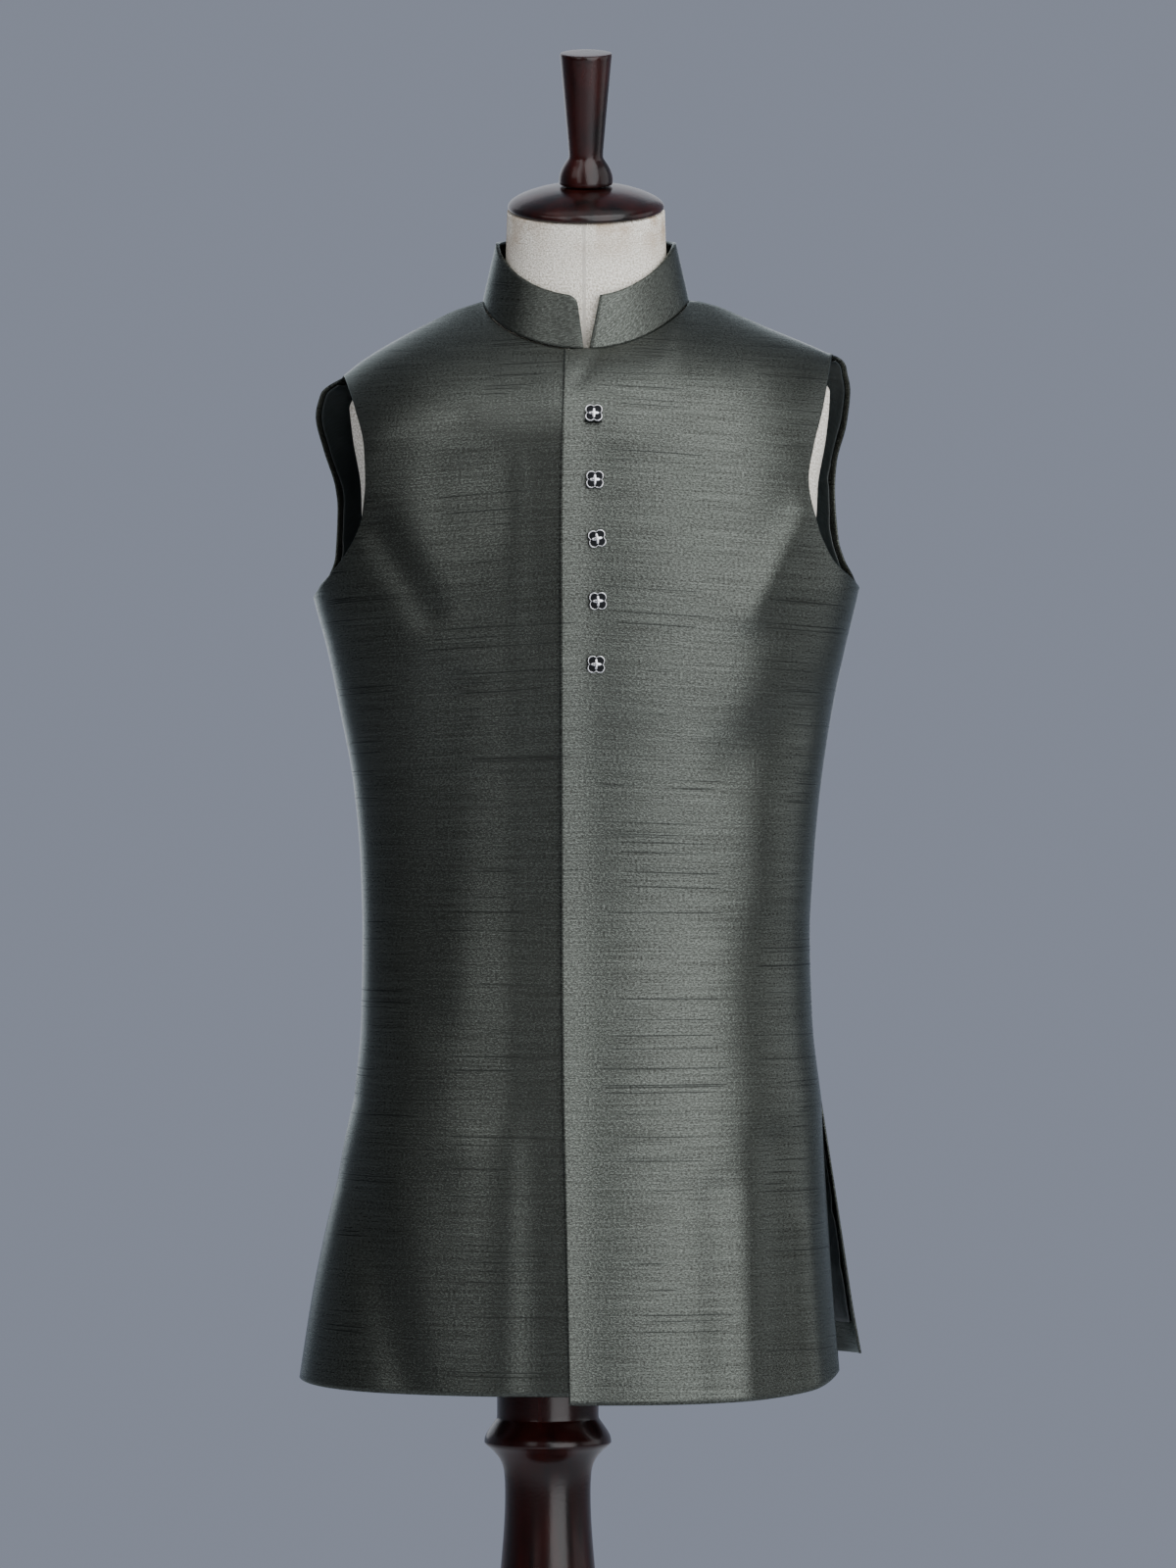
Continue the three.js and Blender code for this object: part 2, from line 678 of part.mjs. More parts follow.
function reversed(geometry) {
  const index = geometry.getIndex().array;
  for (let i = 0; i < index.length; i += 3) {
    const keep = index[i];
    index[i] = index[i + 1];
    index[i + 1] = keep;
  }
  return geometry;
}

// Shares across the lap at the centre front, the same for the under front and the over front
function lapShares(t) {
  const edge = -shareOf('front', 'right', t, overEdgeOf(t));
  const past = shareOf('front', 'left', t, OVERLAP);
  return [edge, edge / 2, 0, past / 2, past];
}

// The under front: from the wearer's right side seam to a little past the centre
function frontRight() {
  const shares = sideShares('front', 'right').map((s) => -s).reverse();
  return panelGeometry(UNDER, panelRows(), (t) => [...shares, ...lapShares(t)], () => 0, WALL);
}

// The over front: it lies on the under front at the centre and meets the seams at its edges
function overLift(s, t) {
  const fade = mix(OVER_LIFT.reach, OVER_LIFT.reachTop, ramp(OVER_LIFT_NARROWS, t));
  return (WALL + LAP_GAP) * (1 - smooth((s - OVER_LIFT.from) / fade));
}

function frontLeft() {
  const shares = sideShares('front', 'left');
  return panelGeometry(OVER, panelRows(), (t) => [...lapShares(t), ...shares], overLift, WALL);
}

// The back, one panel between the side seams
function backShares() {
  const left = sideShares('back', 'left');
  const right = sideShares('back', 'right').slice(1).map((s) => -s);
  return [...right.reverse(), ...left];
}

function backPanel() {
  return reversed(panelGeometry(BACK, panelRows(), backShares, () => 0, WALL));
}

// The back's lining: it lies inside the panel on the same rows and stops short of its border
function withinBorder(grid) {
  const rows = grid.map((row) => row.slice(1, -1));
  const low = rows[0].map((p, i) => p.clone().lerp(rows[1][i], LINING_HEM));
  return [low, ...rows.slice(1, -1)];
}

function liningPanel() {
  const outer = [];
  const inner = [];
  for (const t of panelRows()) {
    const pairs = backShares().map((s) => wallPair(BACK, s, t, -(WALL + LINING_GAP), LINING_WALL));
    outer.push(pairs.map((pair) => pair[0]));
    inner.push(pairs.map((pair) => pair[1]));
  }
  return reversed(wallGeometry(withinBorder(outer), withinBorder(inner)));
}

// The stand collar, from its square left end round the back to its rounded right end
function collarGeometry() {
  const outer = [];
  const inner = [];
  for (const h of [0, 0.5, 1]) {
    const outerRow = [];
    const innerRow = [];
    const half = mix(NECK.half, COLLAR_TOP.half, h);
    const start = Math.asin(mix(COLLAR_END.leftLow, COLLAR_END.leftHigh, h) / half);
    const endX = mix(COLLAR_END.rightLow, COLLAR_END.rightHigh, h);
    const end = 2 * Math.PI + Math.asin(endX / half);
    for (let i = 0; i <= COLLAR_STEPS; i += 1) {
      const turn = mix(start, end, i / COLLAR_STEPS);
      const low = ringPoint(NECK, turn);
      const high = ringPoint(COLLAR_TOP, turn);
      const up = high.clone().sub(low).normalize();
      low.addScaledVector(up, COLLAR_STAND);
      const fromEnd = (end - turn) * COLLAR_TOP.half;
      const cut = Math.max(0, 1 - fromEnd / COLLAR_CORNER);
      const round = (1 - Math.sqrt(1 - cut * cut)) * COLLAR_CORNER;
      const share = h * (1 - round / high.distanceTo(low));
      const point = low.clone().lerp(high, share);
      const outward = new THREE.Vector3(Math.sin(turn), -Math.cos(turn), COLLAR_LEAN);
      outward.normalize();
      outerRow.push(point);
      innerRow.push(point.clone().addScaledVector(outward, -COLLAR_WALL));
    }
    outer.push(outerRow);
    inner.push(innerRow);
  }
  return wallGeometry(outer, inner);
}

// The form: a torso that rounds over into the shoulders and blends into a neck
function formShoulder(x, side) {
  const far = Math.abs(x);
  const line = shoulderOf[side](Math.max(far, NECK.half)) - FORM_DROP;
  const inside = Math.max(0, NECK.half - far) * FORM_NECK_RISE;
  const { from, width, drop } = FORM_SHOULDER;
  const end = Math.max(0, far - from) / (width - from);
  return line + inside - drop * end ** 2;
}

function insideTorso(x, y, z) {
  const side = x < 0 ? 'right' : 'left';
  const face = y < SEAM_BACK ? 'front' : 'back';
  const far = Math.abs(x);
  const below = formShoulder(x, side) - z;
  const half = formWidthOf(z);
  if (below <= 0 || far >= half) return false;
  const round = (1 - (far / half) ** BODY_POWER) ** (1 / BODY_POWER);
  const near = smooth(far / FORM_ROUND.reach);
  const height = mix(FORM_ROUND.centre, FORM_ROUND.shoulder, near);
  const power = mix(FORM_ROUND.powerCentre, FORM_ROUND.powerTip, near);
  const low = (1 - (1 - clamp(below / height, 0, 1)) ** 2) ** power;
  const full = (face === 'front' ? -1 : 1) * formDepthOf[face](z) * round;
  const bound = mix(SEAM_BACK, full, low);
  return face === 'front' ? y >= bound : y <= bound;
}

function insideNeck(x, y, z) {
  const share = clamp((z - NECK_FORM.low) / (CAP_CENTRE.z - NECK_FORM.low), 0, 1);
  const half = mix(NECK_FORM.lowHalf, NECK_FORM.half, share);
  const depth = mix(NECK_FORM.lowDepth, NECK_FORM.depth, share);
  const centre = mix(NECK_FORM.lowBack, CAP_CENTRE.y, share);
  return z > NECK_FOOT && (x / half) ** 2 + ((y - centre) / depth) ** 2 <= 1;
}

// How far out a shape reaches along one direction, in lengths of that direction
function reachOf(inside, centreY, dx, dy, z) {
  let low = 0;
  let high = FAR;
  if (!inside(0, centreY, z)) return 0;
  for (let i = 0; i < SOLVE_STEPS; i += 1) {
    const middle = (low + high) / 2;
    if (inside(dx * middle, centreY + dy * middle, z)) low = middle;
    else high = middle;
  }
  return low;
}

function formPoint(turn, z) {
  const centreY = mix(SEAM_BACK, CAP_CENTRE.y, ramp(FORM_LEANS, z));
  const narrow = ramp(FORM_NARROWS, z);
  const dx = mix(formWidthOf(z), NECK_FORM.half, narrow) * Math.sin(turn);
  const dy = -mix(TORSO_DEEP, NECK_FORM.depth, narrow) * Math.cos(turn);
  const torso = reachOf(insideTorso, centreY, dx, dy, z);
  const neck = reachOf(insideNeck, centreY, dx, dy, z);
  const apart = clamp(0.5 + (neck - torso) / (2 * NECK_BLEND), 0, 1);
  const reach = mix(torso, neck, apart) + NECK_BLEND * apart * (1 - apart);
  return new THREE.Vector3(dx * reach, centreY + dy * reach, z);
}

function formGeometry() {
  const rings = [];
  for (const z of FORM_RINGS) {
    const ring = [];
    const tip = Math.tan(CAP_TIP * DEGREE) * ramp(FORM_TIPS, z);
    const inset = z === FORM_RINGS[0] ? FORM_FOOT_INSET : 1;
    for (let i = 0; i < FORM_SIDES; i += 1) {
      const turn = (i / FORM_SIDES) * 2 * Math.PI;
      const point = formPoint(turn, z);
      point.x *= inset;
      point.y *= inset;
      point.z += tip * (point.y - CAP_CENTRE.y);
      ring.push(point);
    }
    rings.push(ring);
  }
  return loftGeometry(rings);
}

// A closed mesh through rings from the bottom up, with a fan over each end
function loftGeometry(rings) {
  const positions = [];
  const faces = [];
  const columns = rings[0].length;
  for (const ring of rings) {
    for (const p of ring) positions.push(p.x, p.y, p.z);
  }
  for (let row = 0; row < rings.length - 1; row += 1) {
    for (let column = 0; column < columns; column += 1) {
      const a = row * columns + column;
      const b = row * columns + ((column + 1) % columns);
      faces.push(a, b, b + columns, a, b + columns, a + columns);
    }
  }
  for (const [row, up] of [[0, false], [rings.length - 1, true]]) {
    const middle = new THREE.Vector3();
    for (const p of rings[row]) middle.add(p);
    middle.divideScalar(columns);
    const hub = positions.length / 3;
    positions.push(middle.x, middle.y, middle.z);
    for (let column = 0; column < columns; column += 1) {
      const a = row * columns + column;
      const b = row * columns + ((column + 1) % columns);
      if (up) faces.push(a, b, hub);
      else faces.push(b, a, hub);
    }
  }
  const geometry = new THREE.BufferGeometry();
  geometry.setAttribute('position', new THREE.Float32BufferAttribute(positions, 3));
  geometry.setIndex(faces);
  return geometry;
}

// A turned piece about Z from its profile
function turned(profile, height, sides) {
  const points = profile.map((row) => new THREE.Vector2(row.r, row[height]));
  const geometry = new THREE.LatheGeometry(points, sides);
  geometry.rotateX(Math.PI / 2);
  return geometry;
}

// A square with a round lobe at each corner, as an outline of the given half-width
function lobedShape(half, points) {
  const shape = new THREE.Shape();
  for (let i = 0; i < points; i += 1) {
    const turn = (i / points) * 2 * Math.PI;
    const square = half / Math.max(Math.abs(Math.cos(turn)), Math.abs(Math.sin(turn)));
    const reach = Math.min(square, half * LOBE.corner) * (1 - LOBE.depth * Math.cos(4 * turn));
    const x = reach * Math.cos(turn);
    const y = reach * Math.sin(turn);
    if (i === 0) shape.moveTo(x, y);
    else shape.lineTo(x, y);
  }
  shape.closePath();
  return shape;
}

function extruded(shape, depth) {
  return new THREE.ExtrudeGeometry(shape, { depth, bevelEnabled: false });
}

// One button: a dark body, a bright lobed rim and a bright centre, on the over-front's cloth
function addButton(garment, number, place) {
  const t = rowAtHeight(place.x, place.z);
  const s = shareOf('front', 'left', t, place.x);
  const point = bodyPoint(OVER, s, t);
  const normal = bodyNormal(OVER, s, t);
  const lift = overLift(s, t) + foldRise('front', point, s, t) + BUTTON.stand;
  const group = new THREE.Group();
  group.position.copy(point).addScaledVector(normal, lift);
  group.quaternion.setFromUnitVectors(new THREE.Vector3(0, 0, 1), normal);
  group.rotateZ(place.turn * DEGREE);
  const bodyShape = lobedShape(BUTTON.half - BUTTON.inset, BUTTON.points);
  const rimShape = lobedShape(BUTTON.half, BUTTON.points);
  rimShape.holes.push(lobedShape(BUTTON.half - BUTTON_FACE.rimWidth, BUTTON.points));
  const eyeShape = lobedShape(BUTTON_FACE.eye, BUTTON_FACE.eyePoints);
  const pieces = [
    ['', extruded(bodyShape, BUTTON.body), GUNMETAL, 0],
    ['_rim', extruded(rimShape, BUTTON_FACE.height), SILVER, BUTTON.body + GAP],
    ['_centre', extruded(eyeShape, BUTTON_FACE.height), SILVER, BUTTON.body + GAP],
  ];
  for (const [ending, geometry, material, height] of pieces) {
    const mesh = new THREE.Mesh(geometry, material);
    mesh.name = `button_${number}${ending}`;
    mesh.position.z = height;
    group.add(mesh);
  }
  garment.add(group);
}

// The row of the over-front that lies at a height, near the centre
function rowAtHeight(x, z) {
  let low = 1;
  let high = 3;
  for (let i = 0; i < SOLVE_STEPS; i += 1) {
    const t = (low + high) / 2;
    const s = shareOf('front', 'left', t, x);
    if (bodyPoint(OVER, s, t).z < z) low = t;
    else high = t;
  }
  return low;
}

// The whole object
function addPiece(parent, name, geometry, material) {
  const mesh = new THREE.Mesh(geometry, material);
  mesh.name = name;
  parent.add(mesh);
}

const part = new THREE.Group();
const torso = new THREE.Group();
torso.position.x = TORSO_SHIFT;
part.add(torso);

addPiece(torso, 'front_right', frontRight(), SILK);
addPiece(torso, 'front_left', frontLeft(), SILK);
addPiece(torso, 'back', backPanel(), SILK);
addPiece(torso, 'back_lining', liningPanel(), SATIN);
addPiece(torso, 'collar', collarGeometry(), SILK);
BUTTONS.forEach((place, i) => addButton(torso, i + 1, place));
addPiece(torso, 'form_torso', formGeometry(), CANVAS);

const cap = new THREE.Group();
cap.position.set(0, CAP_CENTRE.y, CAP_CENTRE.z);
cap.rotation.x = CAP_TIP * DEGREE;
torso.add(cap);
addPiece(cap, 'neck_cap', turned(CAP_PROFILE, 'h', TURNED_SIDES.cap), LACQUER);
addPiece(cap, 'finial', turned(FINIAL_PROFILE, 'h', TURNED_SIDES.finial), LACQUER);

addPiece(part, 'column', turned(COLUMN_PROFILE, 'z', TURNED_SIDES.column), LACQUER);
addPiece(part, 'base', turned(BASE_PROFILE, 'z', TURNED_SIDES.base), LACQUER);

export default part;
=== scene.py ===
# %% [markdown]
# A sleeveless jacket on a dress form
#
# The object is a thigh-long stand-collar jacket of slub silk. It is worn by a limbless canvas form
# with a turned, lacquered cap and column. It could be modelled by eye, but solids of every piece
# exist, so each one is made here from the sizes that they have and lies where they lie. This first
# cell loads the solids as the fixed frame.

# %% Load the frame
import math

import bpy
import numpy as np
from mathutils import Matrix, Vector


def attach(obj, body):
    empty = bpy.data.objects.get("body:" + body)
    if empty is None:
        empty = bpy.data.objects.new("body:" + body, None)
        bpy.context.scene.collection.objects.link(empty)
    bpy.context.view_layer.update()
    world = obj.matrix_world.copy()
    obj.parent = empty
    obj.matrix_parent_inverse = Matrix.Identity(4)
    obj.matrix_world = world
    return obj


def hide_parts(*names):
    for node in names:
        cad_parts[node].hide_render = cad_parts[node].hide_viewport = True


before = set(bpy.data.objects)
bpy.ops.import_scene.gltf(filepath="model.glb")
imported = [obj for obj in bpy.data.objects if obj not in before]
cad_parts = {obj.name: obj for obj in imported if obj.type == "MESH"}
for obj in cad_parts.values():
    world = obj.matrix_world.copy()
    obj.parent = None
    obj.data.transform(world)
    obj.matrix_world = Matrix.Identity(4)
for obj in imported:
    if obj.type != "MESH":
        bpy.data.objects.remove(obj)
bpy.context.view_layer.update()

# %% [markdown]
# The camera
#
# The photograph is taken level with the jacket's middle from about five metres, through a long
# lens. A short lens close by could frame the same, but it would swell the chest and shrink the hem.
# The frame is upright, so the sensor's size is given for its height.

# %% Camera
# All in metres, except for the sensor: the camera's place, and the height that it takes in.
CAMERA_AWAY = 5.2
CAMERA_SIDE = 0.032
CAMERA_HEIGHT = 1.053
FRAME_HEIGHT = 1.248
SENSOR_MM = 36.0

camera_data = bpy.data.cameras.new("camera")
camera_data.sensor_fit = "VERTICAL"
camera_data.sensor_height = SENSOR_MM
camera_data.lens = SENSOR_MM * CAMERA_AWAY / FRAME_HEIGHT
camera = bpy.data.objects.new("camera", camera_data)
camera.location = (CAMERA_SIDE, -CAMERA_AWAY, CAMERA_HEIGHT)
camera.rotation_euler = (math.pi / 2, 0, 0)
bpy.context.scene.collection.objects.link(camera)
bpy.context.scene.camera = camera
print("lens:", round(camera_data.lens, 1), "mm")

# %% [markdown]
# Colours and nodes
#
# A procedural material is a small net of nodes. Each node could be made and linked line by line, but
# then the net is hard to read. One function adds a node, sets its values and links its inputs, so
# each material below reads as a list of what it does to the surface. Colours are written as hex
# values, as a paint chart gives them, and one function turns them to the linear light of the shader.


# %% Helpers for colours and nodes
def linear(hex_colour):
    """A hex colour as the linear red, green, blue and alpha that Blender's sockets hold."""
    channels = []
    for start in (1, 3, 5):
        value = int(hex_colour[start : start + 2], 16) / 255
        channels.append(value / 12.92 if value <= 0.04045 else ((value + 0.055) / 1.055) ** 2.4)
    return (*channels, 1.0)


def add_node(tree, kind, links=None, values=None, **settings):
    """Adds one node. links: input name or number to an output socket; values: to a number."""
    node = tree.nodes.new("ShaderNode" + kind)
    for name, value in settings.items():
        setattr(node, name, value)
    for name, value in (values or {}).items():
        node.inputs[name].default_value = value
    for name, socket in (links or {}).items():
        tree.links.new(socket, node.inputs[name])
    return node


def new_material(name, **values):
    """A material whose shader has the given constants. Returns it, its tree and the shader."""
    material = bpy.data.materials.new(name)
    material.use_nodes = True
    shader = material.node_tree.nodes["Principled BSDF"]
    for key, value in values.items():
        shader.inputs[key.replace("_", " ")].default_value = value
    return material, material.node_tree, shader


def link_shader(tree, shader, **sockets):
    """Links each output socket to the shader's input of that name."""
    for key, socket in sockets.items():
        tree.links.new(socket, shader.inputs[key.replace("_", " ")])


def set_stops(node, *stops):
    """Gives a Color Ramp its two stops, each a place and a hex colour."""
    for element, (place, colour) in zip(node.color_ramp.elements, stops):
        element.position = place
        element.color = linear(colour)


print("helpers:", [f.__name__ for f in (linear, add_node, new_material, link_shader, set_stops)])

# %% [markdown]
# The light
#
# The wearer's left front shines and the right one is dark, so a tall strong soft box stands on the
# picture's right and only narrow weak ones on its left. Others light the side, the back and the top,
# for a viewer who walks round. A picture of a studio could light the scene as well, but boxes can be
# moved one by one until each front matches. They are large, because silk shows a small light as
# a hard streak. A plain grey room, darker behind the camera, fills the shadows.


# %% Lights, room and floor
LIT_POINT = Vector((0.03, 0.0, 1.05))
# Name, degrees to the right of the camera, degrees up, metres away, metres wide and tall,
# watts and colour.
SOFT_BOXES = [
    ("key_box", 28, 25, 2.9, (2.7, 5.6), 182, "#fcfdff"),
    ("fill_box", -29, 25, 3.2, (0.9, 3.6), 20, "#fdfdff"),
    ("chest_box", -47, 32, 3.2, (1.7, 1.6), 11.5, "#fdfdff"),
    ("side_box", 88, 15, 3.2, (2.6, 3.0), 28, "#fcfdff"),
    ("back_box", 195, 22, 3.3, (3.6, 3.4), 28, "#f8faff"),
    ("top_box", 10, 74, 2.6, (3.0, 1.8), 14, "#fcfdff"),
]
FLOOR_RADIUS = 3.3


def soft_box(name, azimuth, elevation, away, size, watts, colour):
    """A rectangular light that faces the jacket and that the camera doesn't see."""
    data = bpy.data.lights.new(name, "AREA")
    data.shape = "RECTANGLE"
    data.size, data.size_y = size
    data.energy = watts
    data.color = linear(colour)[:3]
    turn, rise = math.radians(azimuth), math.radians(elevation)
    flat = math.cos(rise)
    place = Vector((flat * math.sin(turn), -flat * math.cos(turn), math.sin(rise))) * away
    light = bpy.data.objects.new(name, data)
    light.location = LIT_POINT + place
    light.rotation_euler = (-place).to_track_quat("-Z", "Y").to_euler()
    light.visible_camera = False
    bpy.context.scene.collection.objects.link(light)


for box in SOFT_BOXES:
    soft_box(*box)

world = bpy.data.worlds.new("grey_room")
world.use_nodes = True
room = world.node_tree
axes = add_node(room, "SeparateXYZ", {"Vector": add_node(room, "TexCoord").outputs["Generated"]})
remap = add_node(room, "MapRange", {"Value": axes.outputs["Y"]}, {"From Min": -1.0})
shade = add_node(room, "ValToRGB", {"Fac": remap.outputs["Result"]})
set_stops(shade, (0.35, "#34373d"), (0.9, "#848a99"))
room.links.new(shade.outputs["Color"], room.nodes["Background"].inputs["Color"])
bpy.context.scene.world = world

bpy.ops.mesh.primitive_circle_add(vertices=96, radius=FLOOR_RADIUS, fill_type="NGON")
floor = bpy.context.object
floor.name = "floor"
floor.data.materials.append(
    new_material("painted_floor", Roughness=0.7, Base_Color=linear("#c9ccd2"))[0]
)
print("lights:", [box[0] for box in SOFT_BOXES], "floor:", floor.data.materials[0].name)

# %% [markdown]
# Slub silk
#
# The jacket's cloth is dupion: a woven silk whose thick and thin weft threads leave slubs, the short
# dark level lines. Warp and weft differ in colour, so the eye sees a fine fleck of olive and grey
# with a broad satin shine. Single threads could be modelled, but there are thousands, so the fleck
# is a noise in the cloth's own flat coordinates. A real thread is about 0.25 mm wide, too fine for
# the picture, so the fleck is drawn several times as coarse. The shine takes the threads' colour, as
# a metal's does, so the shader is partly metallic, although silk is no metal.

# %% Slub silk
CLOTH_MAP = "cloth"
# The width and height of one spot of each pattern, in millimetres.
FLECK_MM = (2.1, 1.1)
STREAK_MM = (70, 1.5)
SLUB_MM = (130, 1.9)
SLUB_WANDER_MM = (60, 60)
STREAK_SHARE = 0.35


def cloth_space(tree, size_mm):
    """The cloth's flat coordinates, divided by a pattern's width and height in millimetres."""
    flat = add_node(tree, "UVMap", uv_map=CLOTH_MAP).outputs["UV"]
    scale = (1000 / size_mm[0], 1000 / size_mm[1], 1.0)
    return add_node(tree, "Mapping", {"Vector": flat}, {"Scale": scale}).outputs["Vector"]


def slub_lines(tree):
    """How dark a slub makes each point: a thin lens in the middle of one stretched cell in six."""
    place = cloth_space(tree, SLUB_WANDER_MM)
    wander = add_node(tree, "TexNoise", {"Vector": place}, {"Scale": 1.0, "Detail": 0.0})
    inputs = {0: wander.outputs["Color"], 1: cloth_space(tree, SLUB_MM)}
    bent = add_node(tree, "VectorMath", inputs, operation="ADD").outputs[0]
    cell = add_node(tree, "TexVoronoi", {"Vector": bent}, {"Scale": 1.0}, voronoi_dimensions="2D")
    lot = add_node(tree, "SeparateColor", {"Color": cell.outputs["Color"]})
    # Each cell draws a lot from 0 to 1. Above 0.84 it holds a slub, thicker as the lot is higher.
    limits = {"From Min": 0.84, "From Max": 1.0, "To Min": 0.0, "To Max": 0.32}
    chosen = add_node(tree, "MapRange", {"Value": lot.outputs[0]}, limits)
    inputs = {0: chosen.outputs["Result"], 1: cell.outputs["Distance"]}
    inside = add_node(tree, "Math", inputs, operation="SUBTRACT")
    limits = {"From Min": 0.0, "From Max": 0.06, "To Max": 0.75}
    return add_node(tree, "MapRange", {"Value": inside.outputs[0]}, limits).outputs["Result"]


def slub_silk(name, dark, light, slub):
    """Dupion silk: a fleck of two thread colours, streaks along the weft, and dark slubs."""
    tint = linear("#eef8f6")
    material, tree, shader = new_material(name, IOR=1.5, Metallic=0.7, Specular_Tint=tint)
    place = cloth_space(tree, FLECK_MM)
    look = {"Scale": 1.0, "Detail": 2.5, "Roughness": 0.7}
    fleck = add_node(tree, "TexNoise", {"Vector": place}, look)
    place = cloth_space(tree, STREAK_MM)
    look = {"Scale": 1.0, "Detail": 2.0, "Roughness": 0.6}
    streak = add_node(tree, "TexNoise", {"Vector": place}, look)
    inputs = {0: streak.outputs["Fac"], 2: fleck.outputs["Fac"]}
    both = add_node(tree, "Math", inputs, {1: STREAK_SHARE}, operation="MULTIPLY_ADD")
    limits = {"From Min": 0.5, "From Max": 0.86}
    tone = add_node(tree, "MapRange", {"Value": both.outputs[0]}, limits).outputs["Result"]
    colours = {"A": linear(dark), "B": linear(light)}
    thread = add_node(tree, "Mix", {"Factor": tone}, colours, data_type="RGBA")
    line = slub_lines(tree)
    inputs = {"Factor": line, "A": thread.outputs["Result"]}
    cloth = add_node(tree, "Mix", inputs, {"B": linear(slub)}, data_type="RGBA")
    # The light threads shine most and the slubs least.
    dull = add_node(tree, "Math", {0: line, 1: tone}, operation="SUBTRACT")
    limits = {"From Min": -1.0, "From Max": 1.0, "To Min": 0.14, "To Max": 0.43}
    gloss = add_node(tree, "MapRange", {"Value": dull.outputs[0]}, limits)
    bump = add_node(tree, "Bump", {"Height": tone}, {"Strength": 1.0, "Distance": 0.0001})
    link_shader(
        tree,
        shader,
        Base_Color=cloth.outputs["Result"],
        Roughness=gloss.outputs["Result"],
        Normal=bump.outputs["Normal"],
    )
    return material


olive_silk = slub_silk("slub_silk_olive", "#1c1b17", "#555954", "#0f0f0d")
print("cloth:", olive_silk.name)

# %% [markdown]
# Satin lining, canvas, lacquer and cast metal
#
# The lining is a woven polyester satin: smooth and dark, with a sharper shine than the silk. The
# form is covered in unbleached cotton canvas, which is matt and coarse, and stained below the cap.
# The wood is mahogany, turned and lacquered nearly black, so dark red shows through a soft gloss.
# The buttons are cast zinc, plated with gunmetal or with silver, a little worn. Each could have
# a picture of its surface, but a pattern worked out from a size in millimetres stays sharp at any
# distance and needs no file.


# %% Satin lining
SATIN_MM = (9, 1.2)


def satin():
    """Polyester satin: fine level threads in two darks, with a low bump."""
    material, tree, shader = new_material("satin_lining", Roughness=0.34, Specular_IOR_Level=0.6)
    place = cloth_space(tree, SATIN_MM)
    weave = add_node(tree, "TexNoise", {"Vector": place}, {"Scale": 1.0, "Detail": 2.0})
    weave = weave.outputs["Fac"]
    colour = add_node(tree, "ValToRGB", {"Fac": weave})
    set_stops(colour, (0.3, "#14191a"), (0.7, "#262e30"))
    bump = add_node(tree, "Bump", {"Height": weave}, {"Strength": 0.2, "Distance": 0.0001})
    link_shader(tree, shader, Base_Color=colour.outputs["Color"], Normal=bump.outputs["Normal"])
    return material


dark_satin = satin()
print("lining:", dark_satin.name, "threads drawn", SATIN_MM[1], "mm tall")

# %% Canvas
CANVAS_MM = (3.0, 1.6)
# Stains in a metre: each is about 26 mm wide.
STAINS = 38.0
# The stained band under the cap, in metres from the floor.
STAIN_BAND = (1.462, 1.498)


def canvas():
    """Cotton canvas: a weave, drawn about three times as coarse as it is, and a patchy stain."""
    material, tree, shader = new_material("cotton_canvas", Roughness=0.9)
    place = add_node(tree, "TexCoord").outputs["Object"]
    flat = cloth_space(tree, CANVAS_MM)
    look = {"Scale": 1.0, "Detail": 2.0, "Roughness": 0.7}
    weave = add_node(tree, "TexNoise", {"Vector": flat}, look).outputs["Fac"]
    blotch = add_node(tree, "TexNoise", {"Vector": place}, {"Scale": STAINS, "Detail": 5.0})
    limits = {"From Min": 0.4, "From Max": 0.62}
    patchy = add_node(tree, "MapRange", {"Value": blotch.outputs["Fac"]}, limits)
    height = add_node(tree, "SeparateXYZ", {"Vector": place})
    limits = {"From Min": STAIN_BAND[0], "From Max": STAIN_BAND[1]}
    near_cap = add_node(tree, "MapRange", {"Value": height.outputs["Z"]}, limits)
    inputs = {0: near_cap.outputs["Result"], 1: patchy.outputs["Result"]}
    stain = add_node(tree, "Math", inputs, operation="MULTIPLY")
    cloth = add_node(tree, "ValToRGB", {"Fac": weave})
    set_stops(cloth, (0.38, "#b8b0a0"), (0.62, "#fbf6ec"))
    inputs = {"Factor": stain.outputs[0], "A": cloth.outputs["Color"]}
    stained = add_node(tree, "Mix", inputs, {"B": linear("#a58a6c")}, data_type="RGBA")
    bump = add_node(tree, "Bump", {"Height": weave}, {"Strength": 0.7, "Distance": 0.0012})
    link_shader(tree, shader, Base_Color=stained.outputs["Result"], Normal=bump.outputs["Normal"])
    return material


cream_canvas = canvas()
print("form cover:", cream_canvas.name)

# %% Lacquered wood
# Streaks of grain and specks of the brush in a metre: about 17 mm and 2.4 mm wide.
GRAIN = 60.0
SPECKS = 420.0
GRAIN_STRETCH = 0.12


